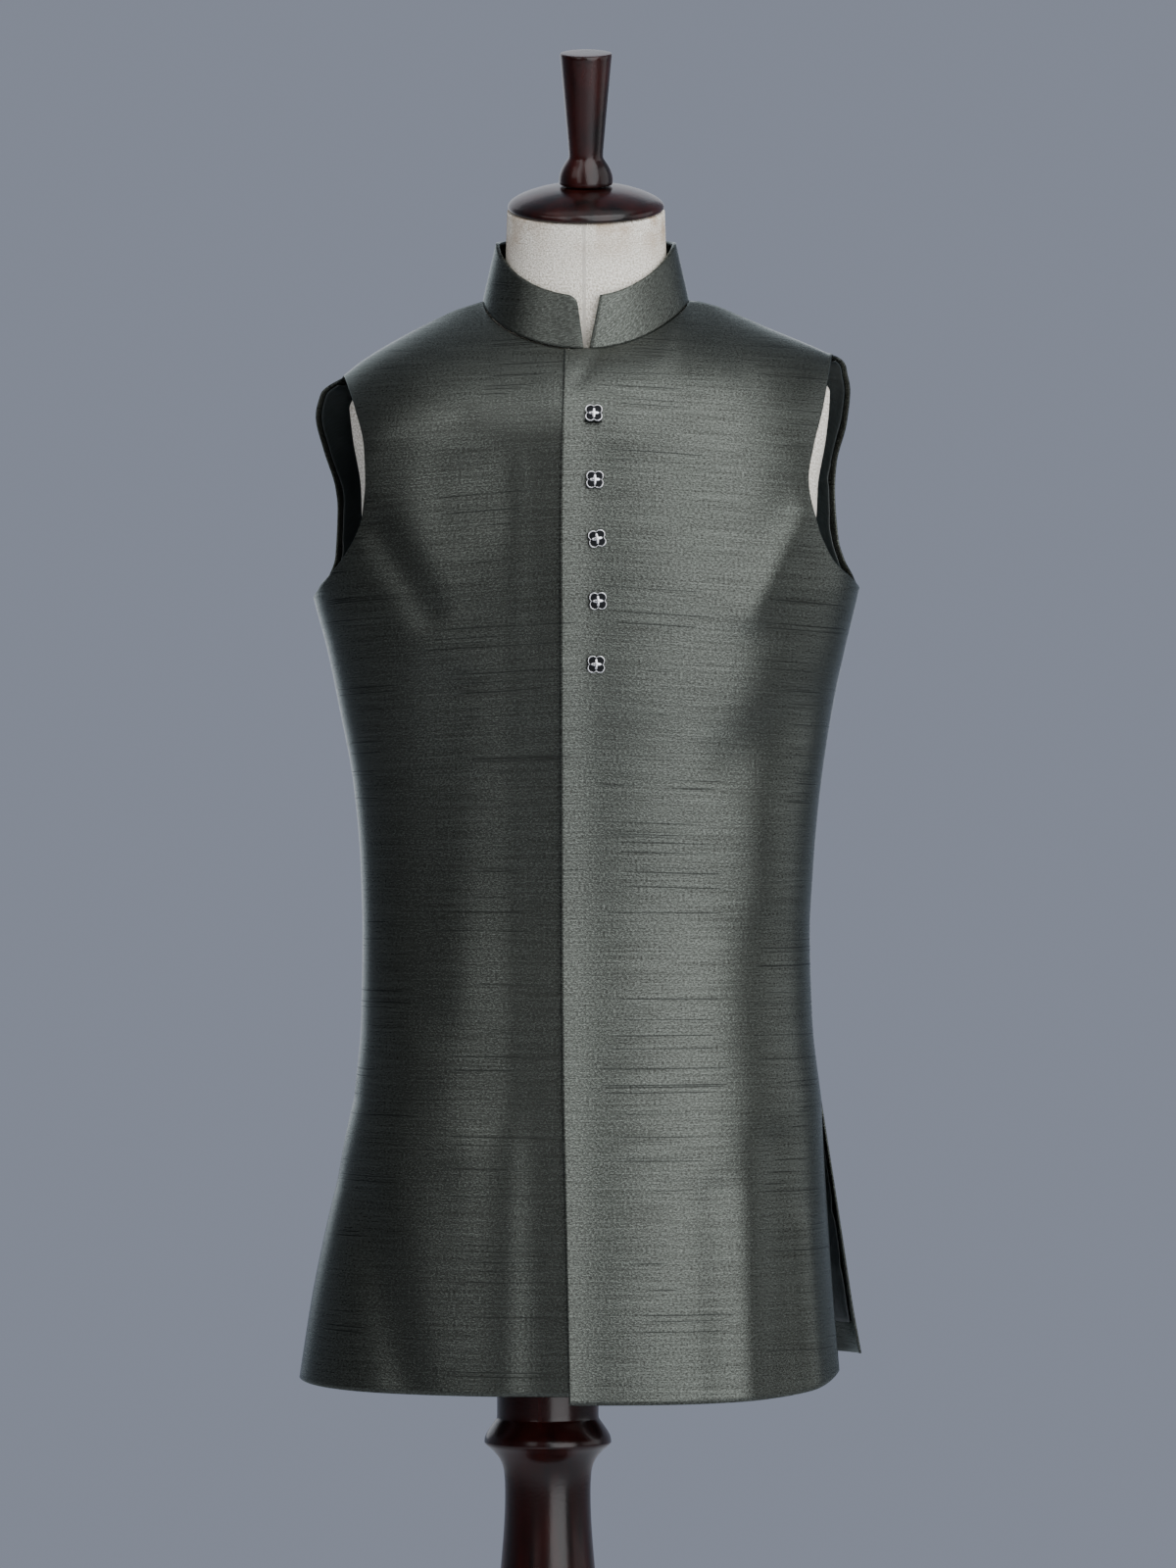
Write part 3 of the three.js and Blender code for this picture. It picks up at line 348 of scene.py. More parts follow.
def lacquer():
    """Lacquered mahogany: long dark red grain under a thin gloss with fine specks."""
    material, tree, shader = new_material(
        "mahogany_lacquer", Roughness=0.26, IOR=1.36, Coat_Weight=0.15, Coat_Roughness=0.12
    )
    place = add_node(tree, "TexCoord").outputs["Object"]
    tall = add_node(tree, "Mapping", {"Vector": place}, {"Scale": (1.0, 1.0, GRAIN_STRETCH)})
    look = {"Scale": GRAIN, "Detail": 6.0, "Roughness": 0.6}
    grain = add_node(tree, "TexNoise", {"Vector": tall.outputs["Vector"]}, look)
    colour = add_node(tree, "ValToRGB", {"Fac": grain.outputs["Fac"]})
    set_stops(colour, (0.35, "#090404"), (0.72, "#2e0d0a"))
    speck = add_node(tree, "TexNoise", {"Vector": place}, {"Scale": SPECKS, "Detail": 3.0})
    depth = {"Strength": 0.3, "Distance": 0.0004}
    bump = add_node(tree, "Bump", {"Height": speck.outputs["Fac"]}, depth)
    link_shader(tree, shader, Base_Color=colour.outputs["Color"], Normal=bump.outputs["Normal"])
    return material


mahogany = lacquer()
print("wood:", mahogany.name)

# %% Plated metal
# Worn spots in a metre: each is about 1.1 mm wide.
WEAR = 900.0


def cast_metal(name, colour, roughness):
    """Plated casting: one colour, with a gloss that wear makes uneven."""
    material, tree, shader = new_material(name, Metallic=1.0, Base_Color=linear(colour))
    place = add_node(tree, "TexCoord").outputs["Object"]
    wear = add_node(tree, "TexNoise", {"Vector": place}, {"Scale": WEAR, "Detail": 3.0})
    limits = {"To Min": roughness * 0.7, "To Max": roughness * 1.4}
    rough = add_node(tree, "MapRange", {"Value": wear.outputs["Fac"]}, limits)
    link_shader(tree, shader, Roughness=rough.outputs["Result"])
    return material


gunmetal = cast_metal("gunmetal_plate", "#1f2022", 0.45)
bright_plate = cast_metal("silver_plate", "#d9d9dc", 0.2)
print("metals:", gunmetal.name, bright_plate.name)

# %% [markdown]
# The body's sizes
#
# The jacket is measured in millimetres, as a cutter would: depths, half-widths at the side seams,
# the edges of the slits and of the armholes, and the shoulder line. A shape like this could be
# sculpted, but tables keep both sides and the form under them to the same sizes. Each table is a row
# for each height, and a smooth curve runs through every column of it.

# %% Sizes of the jacket
# The cloth wall, the gap at each seam, and how far and how loosely the fronts lap.
WALL = 1.6
GAP = 0.3
LAP_GAP = 0.45
OVERLAP = 24
# 2 would make the section an oval; more makes it squarer.
BODY_POWER = 2.3
SLIT_TOP = 803
UNDERARM = {"right": 1201, "left": 1209}
UNDERARM_CENTRE = 1205
TORSO_SHIFT = 30.4
SEAM_BACK = -11


def table(names, rows):
    """Rows of numbers as a dictionary of named columns."""
    columns = zip(*rows)
    return {name: np.array(column, float) for name, column in zip(names.split(), columns)}


DEPTHS = table(
    "z front back form_front form_back",
    [
        (570, 130, 124, 92, 90), (700, 122, 113, 94, 92), (850, 110, 98, 96, 86),
        (950, 104, 92, 92, 80), (1050, 109, 99, 98, 88), (1150, 118, 109, 109, 100),
        (1250, 123, 114, 117, 107), (1330, 120, 114, 114, 107), (1450, 116, 110, 110, 103),
    ],
)
SIDE_SEAMS = table(
    "z right left",
    [
        (803, 184.6, 187.2), (866, 178.8, 180.2), (935, 177.8, 178.2), (991, 179.4, 181),
        (1053, 184.9, 187), (1116, 196.6, 196.8), (1160, 205.8, 206), (1201, 216.8, 215.8),
        (1209, 218.6, 217.6),
    ],
)
SLIT_EDGES = {
    ("front", "right"): [
        (582, 227.6, 16), (648, 217.4, 12), (710, 205, 8), (772, 191.8, 3), (803, 184.6, 0),
    ],
    ("front", "left"): [
        (589, 200.6, 32), (663, 195, 22), (739, 190.4, 10), (775, 188.5, 4), (803, 187.2, 0),
    ],
    ("back", "right"): [
        (597, 212, 20), (650, 205, 14), (710, 196.5, 9), (772, 188, 3), (803, 184.6, 0),
    ],
    ("back", "left"): [
        (598, 220.4, 22), (637, 213.3, 18), (679, 206.8, 13), (721, 200.3, 8), (803, 187.2, 0),
    ],
}
ARMHOLES = {
    ("front", "right"): [
        (1201, 216.8, 216.8), (1208, 210.8, 217.6), (1223, 197.3, 218.4), (1234, 188.4, 218.8),
        (1246, 181.1, 219.2), (1260, 175.9, 219.5), (1282, 173.4, 219.8), (1306, 174.4, 220),
        (1340, 182, 220.5), (1376, 192.4, 221),
    ],
    ("front", "left"): [
        (1209, 217.6, 217.6), (1216, 209.5, 218.2), (1227, 196.8, 218.8), (1239, 189, 219.2),
        (1253, 181.8, 219.5), (1270, 176.6, 219.8), (1288, 174.9, 220), (1312, 178.6, 220.3),
        (1345, 186.6, 220.7), (1394, 195.2, 221),
    ],
    ("back", "right"): [
        (1201, 216.8, 216.8), (1211, 213.6, 218.8), (1222, 206, 219.4), (1236, 202, 219.8),
        (1275, 200.4, 220.4), (1290, 202, 220.8), (1320, 211, 221.6), (1345, 216.4, 222.4),
        (1362, 212.5, 222.6), (1376, 192.4, 222.8),
    ],
    ("back", "left"): [
        (1209, 217.6, 217.6), (1220, 214, 219.2), (1233, 208, 219.6), (1250, 203.4, 220),
        (1290, 200.8, 220.4), (1310, 202, 220.8), (1342, 209.6, 221.2), (1366, 211.8, 221.6),
        (1382, 208.4, 221.8), (1394, 195.2, 222),
    ],
}
SLITS = {key: table("z out off", rows) for key, rows in SLIT_EDGES.items()}
ARMS = {key: table("z out full", rows) for key, rows in ARMHOLES.items()}
SHOULDERS = table(
    "x right left",
    [
        (82, 1436.5, 1437.5), (100, 1430.8, 1434), (117, 1423.2, 1427.4), (147, 1407.8, 1414.4),
        (177, 1389.6, 1402), (192, 1377.8, 1395.2),
    ],
)
# The back swells a little just under its shoulder seam.
CREST_RISE = {"right": 1.2, "left": 3.8}
CREST_RUN = 16
# How the body rounds over: from what height at the centre and the shoulder, and how squarely.
ROUND = {
    "front": {"centre": 128, "shoulder": 98, "power": (1, 0.56), "crown": 7},
    "back": {"centre": 130, "shoulder": 105, "power": (0.95, 0.5), "crown": 50},
}
CROWN_REACH = 120
NECKLINE_FADE = 55
# The neckline pulls the cloth below it, over a spread of places that keeps the pull smooth.
NECKLINE_SPREAD = np.linspace(-1, 1, 21)
SPREAD_WEIGHTS = np.exp(-((NECKLINE_SPREAD / 0.55) ** 2))
CROWN_EASE = 12
# Where the rounding's height and its power change, from the neck out: a start and a run.
HEIGHT_CHANGE = (40, 110)
POWER_CHANGE = (70, 115)
CREST_SPREAD = 50
CORNER_ROWS = 0.025
# The neckline's ring: half its width, its seam, its depth each way, and its heights.
NECK = {
    "half": 82, "back": SEAM_BACK, "front": 71, "rear": 70, "side": 1436.8, "drop": 43.5, "rise": 10,
}
NECK_POWER = {"right": 1.15, "left": 1.45}
print("tables:", len(SLITS) + len(ARMS) + 3)

# %% [markdown]
# From tables to a surface
#
# A half-panel is a sheet of rows and columns. Rows climb from the hem (0) to the slit's top (1), the
# underarm (2) and the neck and shoulder (3). Columns spread from the centre (0) to the edge (1).
# The section across the body is a squared oval, and towards the shoulder line it rounds over. Such
# a sheet could be pulled out of a few control points, but then its edges would miss the seams that
# two panels share. Here each edge is exactly on its curve.


# %% Curves through the tables
def mix(a, b, share):
    """From a at share 0 to b at share 1."""
    return a + (b - a) * share


def smooth(share):
    """From 0 to 1 as share does, with a soft start and end."""
    s = np.clip(share, 0, 1)
    return s * s * (3 - 2 * s)


def through(rows, along, column):
    """A curve through one column of a table, which never overshoots its rows."""
    at, value = rows[along], rows[column]
    run = np.diff(at)
    step = np.diff(value) / run
    slope = np.empty_like(at)
    slope[0], slope[-1] = step[0], step[-1]
    product = step[:-1] * step[1:]
    total = np.where(product > 0, step[:-1] + step[1:], 1)
    slope[1:-1] = np.where(product > 0, 2 * product / total, 0)

    def curve(wanted):
        x = np.clip(wanted, at[0], at[-1])
        i = np.clip(np.searchsorted(at, x) - 1, 0, len(run) - 1)
        t = (x - at[i]) / run[i]
        ends = value[i] * (1 + 2 * t) * (1 - t) ** 2 + value[i + 1] * t * t * (3 - 2 * t)
        bends = slope[i] * t * (1 - t) ** 2 + slope[i + 1] * t * t * (t - 1)
        return ends + run[i] * bends

    return curve


SIDES = ("right", "left")
depth_of = {face: through(DEPTHS, "z", face) for face in ("front", "back")}
form_depth_of = {face: through(DEPTHS, "z", "form_" + face) for face in ("front", "back")}
seam_of = {side: through(SIDE_SEAMS, "z", side) for side in SIDES}
shoulder_of = {side: through(SHOULDERS, "x", side) for side in SIDES}
slit_of = {key: (through(t, "z", "out"), through(t, "z", "off")) for key, t in SLITS.items()}
arm_of = {key: (through(t, "z", "out"), through(t, "z", "full")) for key, t in ARMS.items()}
print("half-width at the waist:", float(seam_of["right"](940)))


# %% Rows and columns of a panel
def edge_at(face, side, t):
    """Where a panel's edge lies in row t, and the half-width of the whole section there."""
    key = (face, side)
    foot = SLITS[key]["z"][0]
    z = mix(foot, SLIT_TOP, np.clip(t, 0, 1))
    low = slit_of[key][0](z)
    lean = 1 - (slit_of[key][1](z) / depth_of[face](z)) ** BODY_POWER
    middle = seam_of[side](mix(SLIT_TOP, UNDERARM[side], np.clip(t, 1, 2) - 1))
    tip = ARMS[key]["z"][-1]
    z = mix(UNDERARM[side], tip, np.clip(t, 2, 3) - 2)
    out = np.where(t < 1, low, np.where(t <= 2, middle, arm_of[key][0](z)))
    low_full = low / lean ** (1 / BODY_POWER)
    full = np.where(t < 1, low_full, np.where(t <= 2, middle, arm_of[key][1](z)))
    return out, full


def column_turn(out, full, share):
    """The turn round the section of a column, spread so that the columns end at the edge."""
    edge_turn = np.arcsin(np.minimum(1, (out / full) ** (BODY_POWER / 2)))
    quarter = np.pi / 2
    return quarter * share - (quarter - edge_turn) * share**2


def share_of(face, side, t, x):
    """The share of the half-panel for a distance x from the centre."""
    out, full = edge_at(face, side, t)
    turn = np.arcsin((np.abs(x) / full) ** (BODY_POWER / 2))
    share = turn / (np.pi / 2)
    for _ in range(30):
        share = share + (turn - column_turn(out, full, share)) / (np.pi / 2)
    return share


print("half-width under the arm:", float(edge_at("front", "left", np.array(2.0))[0]))


# %% The neckline and the top edge
def ring_point(ring, turn):
    """A point of the neckline, or of the collar's top, at a turn from the centre front."""
    forward = np.cos(turn)
    power = np.where(np.sin(turn) < 0, NECK_POWER["right"], NECK_POWER["left"])
    front = forward > 0
    x = ring["half"] * np.sin(turn)
    y = ring["back"] - np.where(front, ring["front"], ring["rear"]) * forward
    fall = ring["drop"] * np.maximum(forward, 0) ** power
    z = ring["side"] - np.where(front, fall, ring["rise"] * forward)
    return np.stack([x, y, z], -1)


def top_edge(face, side, x):
    """Depth and height of the panel's top edge at a distance x from the centre."""
    sign = -1 if side == "right" else 1
    lean = np.arcsin(np.clip(x / NECK["half"], 0, 1))
    ring = ring_point(NECK, sign * (lean if face == "front" else np.pi - lean))
    on_neck = x < NECK["half"]
    y = np.where(on_neck, ring[..., 1], SEAM_BACK)
    z = np.where(on_neck, ring[..., 2], shoulder_of[side](x))
    return y, z


print("neckline at the centre front:", ring_point(NECK, np.array(0.0)).round(1))


# %% The rounded body
def body_depth(face, side, x, z, full):
    """Depth of the rounded body: full below, and closing towards the shoulder line."""
    rounding = ROUND[face]
    inside = np.maximum(0, 1 - (x / CROWN_REACH) ** 2) ** 2
    eased = NECK["half"] + CROWN_EASE * np.logaddexp(0, (x - NECK["half"]) / CROWN_EASE)
    crown = shoulder_of[side](eased) + rounding["crown"] * inside
    outer = smooth((x - HEIGHT_CHANGE[0]) / HEIGHT_CHANGE[1])
    height = mix(rounding["centre"], rounding["shoulder"], outer)
    power = mix(*rounding["power"], smooth((x - POWER_CHANGE[0]) / POWER_CHANGE[1]))
    low = (1 - (1 - np.clip((crown - z) / height, 0, 1)) ** 2) ** power
    curve = np.maximum(0, 1 - (x / full) ** BODY_POWER) ** (1 / BODY_POWER)
    outward = -1 if face == "front" else 1
    return mix(SEAM_BACK, outward * depth_of[face](z) * curve, low)


def half_body(panel, side, share, t):
    """Points of one half of a panel's bare surface."""
    face = panel["face"]
    out, full = edge_at(face, side, t)
    x = full * np.sin(column_turn(out, full, share)) ** (2 / BODY_POWER)
    sign = -1 if side == "right" else 1
    foot = SLITS[(face, side)]["z"][0]
    low = mix(mix(panel["hem"], foot, share**3), SLIT_TOP, np.clip(t, 0, 1))
    underarm = mix(UNDERARM_CENTRE, UNDERARM[side], share)
    middle = mix(SLIT_TOP, underarm, np.clip(t, 1, 2) - 1)
    top_z = top_edge(face, side, x)[1]
    cut = panel["corner_slope"] * np.maximum(0, 2 - sign * x)
    last = np.clip(1 - (3 - t) / CORNER_ROWS, 0, 1)
    high = mix(underarm, top_z, np.clip(t, 2, 3) - 2) - cut * last
    z = np.where(t < 1, low, np.where(t <= 2, middle, high))
    y = body_depth(face, side, x, z, full)
    below = top_z - z
    tip_full = edge_at(face, side, np.full_like(t, 3.0))[1]
    miss = 0
    top = 0
    for step, weight in zip(NECKLINE_SPREAD, SPREAD_WEIGHTS):
        near = np.abs(x + step * below)
        near_y, near_z = top_edge(face, side, near)
        miss = miss + weight * (near_y - body_depth(face, side, near, near_z, tip_full))
        top = top + weight * near_z
    total = SPREAD_WEIGHTS.sum()
    miss = miss / total * np.exp(-(((top / total - z) / NECKLINE_FADE) ** 2))
    y = y + np.where(t > 2, miss, 0)
    if face == "back":
        crest = CREST_RISE[side] * smooth((x - NECK["half"]) / CREST_SPREAD)
        z = z + np.where(t > 2, crest * np.sin(np.pi * np.clip(below / CREST_RUN, 0, 1)), 0)
    return np.stack([sign * x, y, z], -1)


# %% Points and directions of a whole panel
def body_point(panel, s, t):
    """Points of a panel's bare surface: s is 0 at the centre and 1 or -1 at the edges."""
    right = half_body(panel, "right", np.abs(s), t)
    left = half_body(panel, "left", np.abs(s), t)
    return np.where((s < 0)[..., None], right, left)


def unit(vectors):
    """The same directions with a length of 1."""
    return vectors / np.maximum(np.linalg.norm(vectors, axis=-1, keepdims=True), 1e-9)


def body_normal(panel, s, t):
    """Outward directions of the bare surface, from near points across and along it."""
    reach = 1e-3
    across = body_point(panel, np.clip(s + reach, -1, 1), t)
    across = across - body_point(panel, np.clip(s - reach, -1, 1), t)
    up = body_point(panel, s, np.clip(t + reach, 0, 3))
    up = up - body_point(panel, s, np.clip(t - reach, 0, 3))
    normal = np.cross(across, up) if panel["face"] == "front" else np.cross(up, across)
    return unit(normal)


UNDER = {"face": "front", "name": "under", "hem": 577, "corner_slope": 0}
OVER = {"face": "front", "name": "over", "hem": 570.5, "corner_slope": 0.2}
BACK = {"face": "back", "name": "back", "hem": 596, "corner_slope": 0}
print("chest depth:", body_point(OVER, np.array([0.0]), np.array([2.2]))[0].round(1))

# %% [markdown]
# Folds
#
# The cloth isn't a smooth shell: it carries a few broad folds where it hangs from the chest, at the
# underarms and in the skirt. A cloth simulation could make folds, but not where the photograph has
# them. So each is placed as a line with a width and a rise, which fades out sideways as a bell
# does. Similar ones lie on the back, which the photograph doesn't show.

# %% Folds
# Each fold: its start and its end (across, height), its width and its rise.
FRONT_FOLDS = [
    (172, 1262, 128, 1188, 15, 3), (190, 1122, 116, 1072, 25, -2.6),
    (146, 1010, 150, 970, 30, 2.6), (150, 770, 150, 575, 15, -2.8), (172, 705, 180, 575, 11, 2.6),
    (100, 730, 106, 575, 17, -2.2), (-164, 1250, -126, 1188, 15, -2.6),
    (-98, 1290, -92, 1262, 24, -2), (-110, 1120, -132, 880, 30, -3),
    (-180, 735, -140, 575, 20, -3.4), (-80, 760, -76, 575, 26, 2.4),
]
LAP_FOLDS = {
    "under": [(-5, 1330, -5, 560, 24, 2.6), (-58, 1300, -60, 560, 14, 0.8)],
    "over": [(-30, 1400, -30, 560, 24, 4.2), (16, 1400, -6, 1366, 6, -1.2)],
}
BACK_FOLDS = [
    (-150, 1290, -118, 1180, 18, -3), (152, 1296, 112, 1172, 17, -3.2),
    (-60, 1000, -74, 610, 24, 3.4), (8, 930, 4, 600, 22, -3), (84, 980, 96, 605, 26, 3.6),
    (-150, 900, -158, 640, 20, -2.6), (-30, 1100, 60, 1082, 26, -2.2),
]
FOLDS = {
    "under": FRONT_FOLDS + LAP_FOLDS["under"],
    "over": FRONT_FOLDS + LAP_FOLDS["over"],
    "back": BACK_FOLDS,
}


def ridges(point, lines):
    """The rise at a point of ridges that run along lines and fade out sideways."""
    rise = 0
    for x0, z0, x1, z1, width, height in lines:
        run = np.array([x1 - x0, z1 - z0], float)
        from_start = point[..., ::2] - (x0, z0)
        along = np.clip(from_start @ run / (run @ run), 0, 1)
        away = np.linalg.norm(from_start - along[..., None] * run, axis=-1)
        rise = rise + height * np.exp(-((away / width) ** 2))
    return rise


def fold_rise(panel, point, s, t):
    """Height of the folds, calm beside the side seams and at the shoulders."""
    # Rows 1 to 2 end in the side seam, and the last half row ends at the neck and the shoulder.
    seam = np.where((t >= 0.9) & (t <= 2.1), 1 - np.abs(s) ** 8, 1)
    near_top = smooth((t - 2.55) / 0.35)
    if panel["name"] == "over":
        # The edge that laps over keeps its fold right up to the neck.
        near_top = near_top * mix(0.3, 1, smooth((np.abs(point[..., 0]) - 25) / 35))
    return ridges(point, FOLDS[panel["name"]]) * seam * (1 - near_top)


print("folds:", len(FRONT_FOLDS), "in front,", len(BACK_FOLDS), "behind")

# %% [markdown]
# A cloth wall
#
# Sewn cloth has two layers and a turned edge. A modifier could thicken one sheet, but it would cut
# the edges at any angle. So each panel is an outer and an inner sheet a wall apart, with a rounded
# rim between them, cut flat where it meets its neighbour. The flat cloth coordinates are measured
# along the sheet itself, so the weave isn't stretched where the cloth turns away.


# %% Borders and flat lengths
def perimeter(rows, columns):
    """Row and column of each point round a grid's border, in order."""
    low = [(0, c) for c in range(columns)]
    end = [(r, columns - 1) for r in range(1, rows)]
    top = [(rows - 1, c) for c in range(columns - 2, -1, -1)]
    start = [(r, 0) for r in range(rows - 2, 0, -1)]
    return np.array(low + end + top + start)


def flat_lengths(grid, centre_column):
    """Distances along the sheet, across from a column and up from the first row."""
    across = np.linalg.norm(np.diff(grid, axis=1), axis=-1)
    across = np.concatenate([np.zeros((len(grid), 1)), across.cumsum(1)], 1)
    up = np.linalg.norm(np.diff(grid, axis=0), axis=-1)
    up = np.concatenate([np.zeros((1, grid.shape[1])), up.cumsum(0)], 0)
    return np.stack([across - across[:, centre_column, None], up], -1)


print("border of a small grid:", len(perimeter(3, 4)), "points")

# %% Where the threads lie
# The cloth's slope is measured at these heights and places, in millimetres.
WEFT_ARCH = 0.06
STEEPEST = 1.3
WARP_STEP = 4.0
PLACE_STEP = 20.0
WARP_HEIGHTS = np.arange(550, 1470, WARP_STEP)
WARP_PLACES = np.arange(0, 121, PLACE_STEP)


def warp_lengths(face, grid):
    """Heights measured up the cloth's slope, so that weft threads lie level and arch a little."""
    x, z = np.meshgrid(WARP_PLACES, WARP_HEIGHTS)
    full = seam_of["left"](z) + 6
    slope = np.gradient(body_depth(face, "left", x, z, full), WARP_HEIGHTS, axis=0)
    slope = np.clip(slope, -STEEPEST, STEEPEST)
    extra = (np.sqrt(1 + slope**2) - 1).cumsum(0) * WARP_STEP
    far = np.abs(grid[..., 0])
    tall = grid[..., 2]
    at_place = [np.interp(tall, WARP_HEIGHTS, column) for column in extra.T]
    place = np.clip(far / PLACE_STEP, 0, len(WARP_PLACES) - 1.001)
    low = place.astype(int)
    stack = np.stack(at_place, -1)
    lower = np.take_along_axis(stack, low[..., None], -1)[..., 0]
    upper = np.take_along_axis(stack, low[..., None] + 1, -1)[..., 0]
    arch = WEFT_ARCH * far * smooth((tall - 900) / 300)
    return tall + mix(lower, upper, place - low) + arch


print("slope measured at", len(WARP_HEIGHTS), "heights and", len(WARP_PLACES), "places")


# %% A mesh with flat coordinates
def mesh_object(name, points, faces, flat, materials, slots):
    """A smooth mesh in metres from points in millimetres, with the cloth's flat coordinates."""
    mesh = bpy.data.meshes.new(name)
    world_points = (np.asarray(points) + (TORSO_SHIFT, 0, 0)) / 1000
    mesh.from_pydata(world_points.tolist(), [], [list(map(int, f)) for f in faces])
    for material in materials:
        mesh.materials.append(material)
    mesh.polygons.foreach_set("material_index", np.asarray(slots, np.int32))
    corners = np.empty(len(mesh.loops), np.int32)
    mesh.loops.foreach_get("vertex_index", corners)
    layer = mesh.uv_layers.new(name=CLOTH_MAP)
    layer.data.foreach_set("uv", (np.asarray(flat)[corners] / 1000).astype(np.float32).ravel())
    mesh.shade_smooth()
    mesh.update()
    piece = bpy.data.objects.new(name, mesh)
    bpy.context.scene.collection.objects.link(piece)
    return piece


print("the jacket's middle lies at", TORSO_SHIFT, "mm from the column's")

# %% A wall with a rounded rim
EDGE_ROUND = 0.5


def wall_object(name, outer, inner, flat, flip, materials, inner_slot=0):
    """A closed wall from two grids, with a rounded rim. inner_slot: the inner faces' materials."""
    rows, columns = outer.shape[:2]
    border = perimeter(rows, columns)
    middle = (outer[tuple(border.T)] + inner[tuple(border.T)]) / 2
    for grid in (outer, inner):
        pulled = grid.copy()
        pulled[0] += unit(grid[1] - grid[0]) * EDGE_ROUND
        pulled[-1] += unit(grid[-2] - grid[-1]) * EDGE_ROUND
        pulled[:, 0] += unit(grid[:, 1] - grid[:, 0]) * EDGE_ROUND
        pulled[:, -1] += unit(grid[:, -2] - grid[:, -1]) * EDGE_ROUND
        grid[...] = pulled
    index = np.arange(rows * columns).reshape(rows, columns)
    a, b = index[:-1, :-1].ravel(), index[:-1, 1:].ravel()
    c, d = index[1:, 1:].ravel(), index[1:, :-1].ravel()
    count = rows * columns
    outside = np.stack([a, b, c, d], -1)
    inside = np.stack([a, d, c, b], -1) + count
    ring = index[tuple(border.T)]
    ahead = np.roll(ring, -1)
    rim = 2 * count + np.arange(len(ring))
    rim_ahead = np.roll(rim, -1)
    outer_rim = np.stack([ahead, ring, rim, rim_ahead], -1)
    inner_rim = np.stack([rim_ahead, rim, ring + count, ahead + count], -1)
    faces = np.concatenate([outside, inside, outer_rim, inner_rim])
    slots = np.zeros(len(faces), int)
    slots[len(outside) : 2 * len(outside)] = np.ravel(inner_slot)
    if flip:
        faces = faces[:, ::-1]
    points = np.concatenate([outer.reshape(-1, 3), inner.reshape(-1, 3), middle])
    border_flat = flat[tuple(border.T)]
    flats = np.concatenate([flat.reshape(-1, 2), flat.reshape(-1, 2), border_flat])
    return mesh_object(name, points, faces, flats, materials, slots)


print("rim radius:", EDGE_ROUND, "mm")


# %% The two sheets of a panel
def panel_grids(panel, s, t, lift, wall):
    """Outer and inner points of a panel; at a seam the end is cut in the seam's own plane."""
    face = panel["face"]
    point = body_point(panel, s, t)
    normal = body_normal(panel, s, t)
    outer = point + normal * (fold_rise(panel, point, s, t) + lift)[..., None]
    at_side = (np.abs(s) > 1 - 1e-6) & (t >= 1 - 1e-6) & (t <= 2 + 1e-6)
    at_shoulder = (t > 3 - 1e-6) & (np.abs(point[..., 0]) >= NECK["half"] - 1e-6)
    level = unit(normal * (1, 0, 1))
    seam_depth = wall / np.maximum((level * normal).sum(-1), 1 / 1.4)
    cut = at_side | at_shoulder
    inward = np.where(cut[..., None], level, normal)
    depth = np.where(cut, seam_depth, wall)
    outward = -1 if face == "front" else 1
    seam_y = np.where(at_side, 0, SEAM_BACK) + outward * GAP / 2
    outer[..., 1] = np.where(cut, seam_y, outer[..., 1])
    return outer, outer - inward * depth[..., None]


print("wall:", WALL, "mm")

# %% [markdown]
# The two fronts
#
# The wearer's left front laps over the right one and carries the buttons, so it lies a cloth's
# thickness further out near the centre. Both could be one shell with a line drawn on it, but the
# real edge throws a shadow, so they are two. Inside, the silk turns in as a narrow facing, and
# beyond it the fronts are lined with satin.

# %% Rows and columns of the fronts
NECK_COLUMNS = 26
SHOULDER_COLUMNS = 30
LAP_COLUMNS = 8
# The over front's edge isn't quite upright: its place across at rows from the hem to the neck.
OVER_EDGE = table("t x", [(0, -13), (0.5, -15.5), (1.4, -19.5), (2.2, -20), (3, -17)])
over_edge_of = through(OVER_EDGE, "t", "x")


def panel_rows():
    """Rows from hem to top, closer together under the arm and near the top edge."""
    hem = np.linspace(0, 1, 58, endpoint=False)
    side = np.linspace(1, 2, 100, endpoint=False)
    arm = 2 + np.concatenate(
        [np.linspace(0, 0.2, 26, endpoint=False), np.linspace(0.2, 0.9, 46, endpoint=False)]
    )
    top = 2 + np.linspace(0.9, 1, 14)
    return np.concatenate([hem, side, arm, top])


def half_shares(face, side):
    """Shares of a half-panel, which put one column exactly at the shoulder seam's start."""
    neck = share_of(face, side, np.array(3.0), np.array(float(NECK["half"])))
    inner = np.linspace(0, neck, NECK_COLUMNS, endpoint=False)
    outer = neck + (1 - neck) * np.linspace(0, 1, SHOULDER_COLUMNS)
    return np.concatenate([inner, outer])


def front_shares(rows, side):
    """For each row, the shares of its columns from the side seam to just past the centre."""
    past = {
        "right": share_of("front", "left", rows, np.full_like(rows, float(OVERLAP))),
        "left": -share_of("front", "right", rows, over_edge_of(rows)),
    }[side]
    sign = -1 if side == "right" else 1
    half = half_shares("front", side) * sign
    lap = past[:, None] * np.linspace(1, 0, LAP_COLUMNS, endpoint=False)
    grid = np.concatenate([lap, np.tile(half, (len(rows), 1))], 1)
    return grid[:, ::-1] if side == "right" else grid


print("rows:", len(panel_rows()), "columns:", len(half_shares("front", "left")) + LAP_COLUMNS)

# %% The lap and the facing
FACING = 16.0


def over_lift(s, t):
    """How far the over front lies outside the under one, and how that fades to the side."""
    # Near the neck it settles back much sooner than below.
    fade = mix(0.55, 0.16, smooth((t - 2.4) / 0.6))
    return (WALL + LAP_GAP) * (1 - smooth((s - 0.14) / fade))


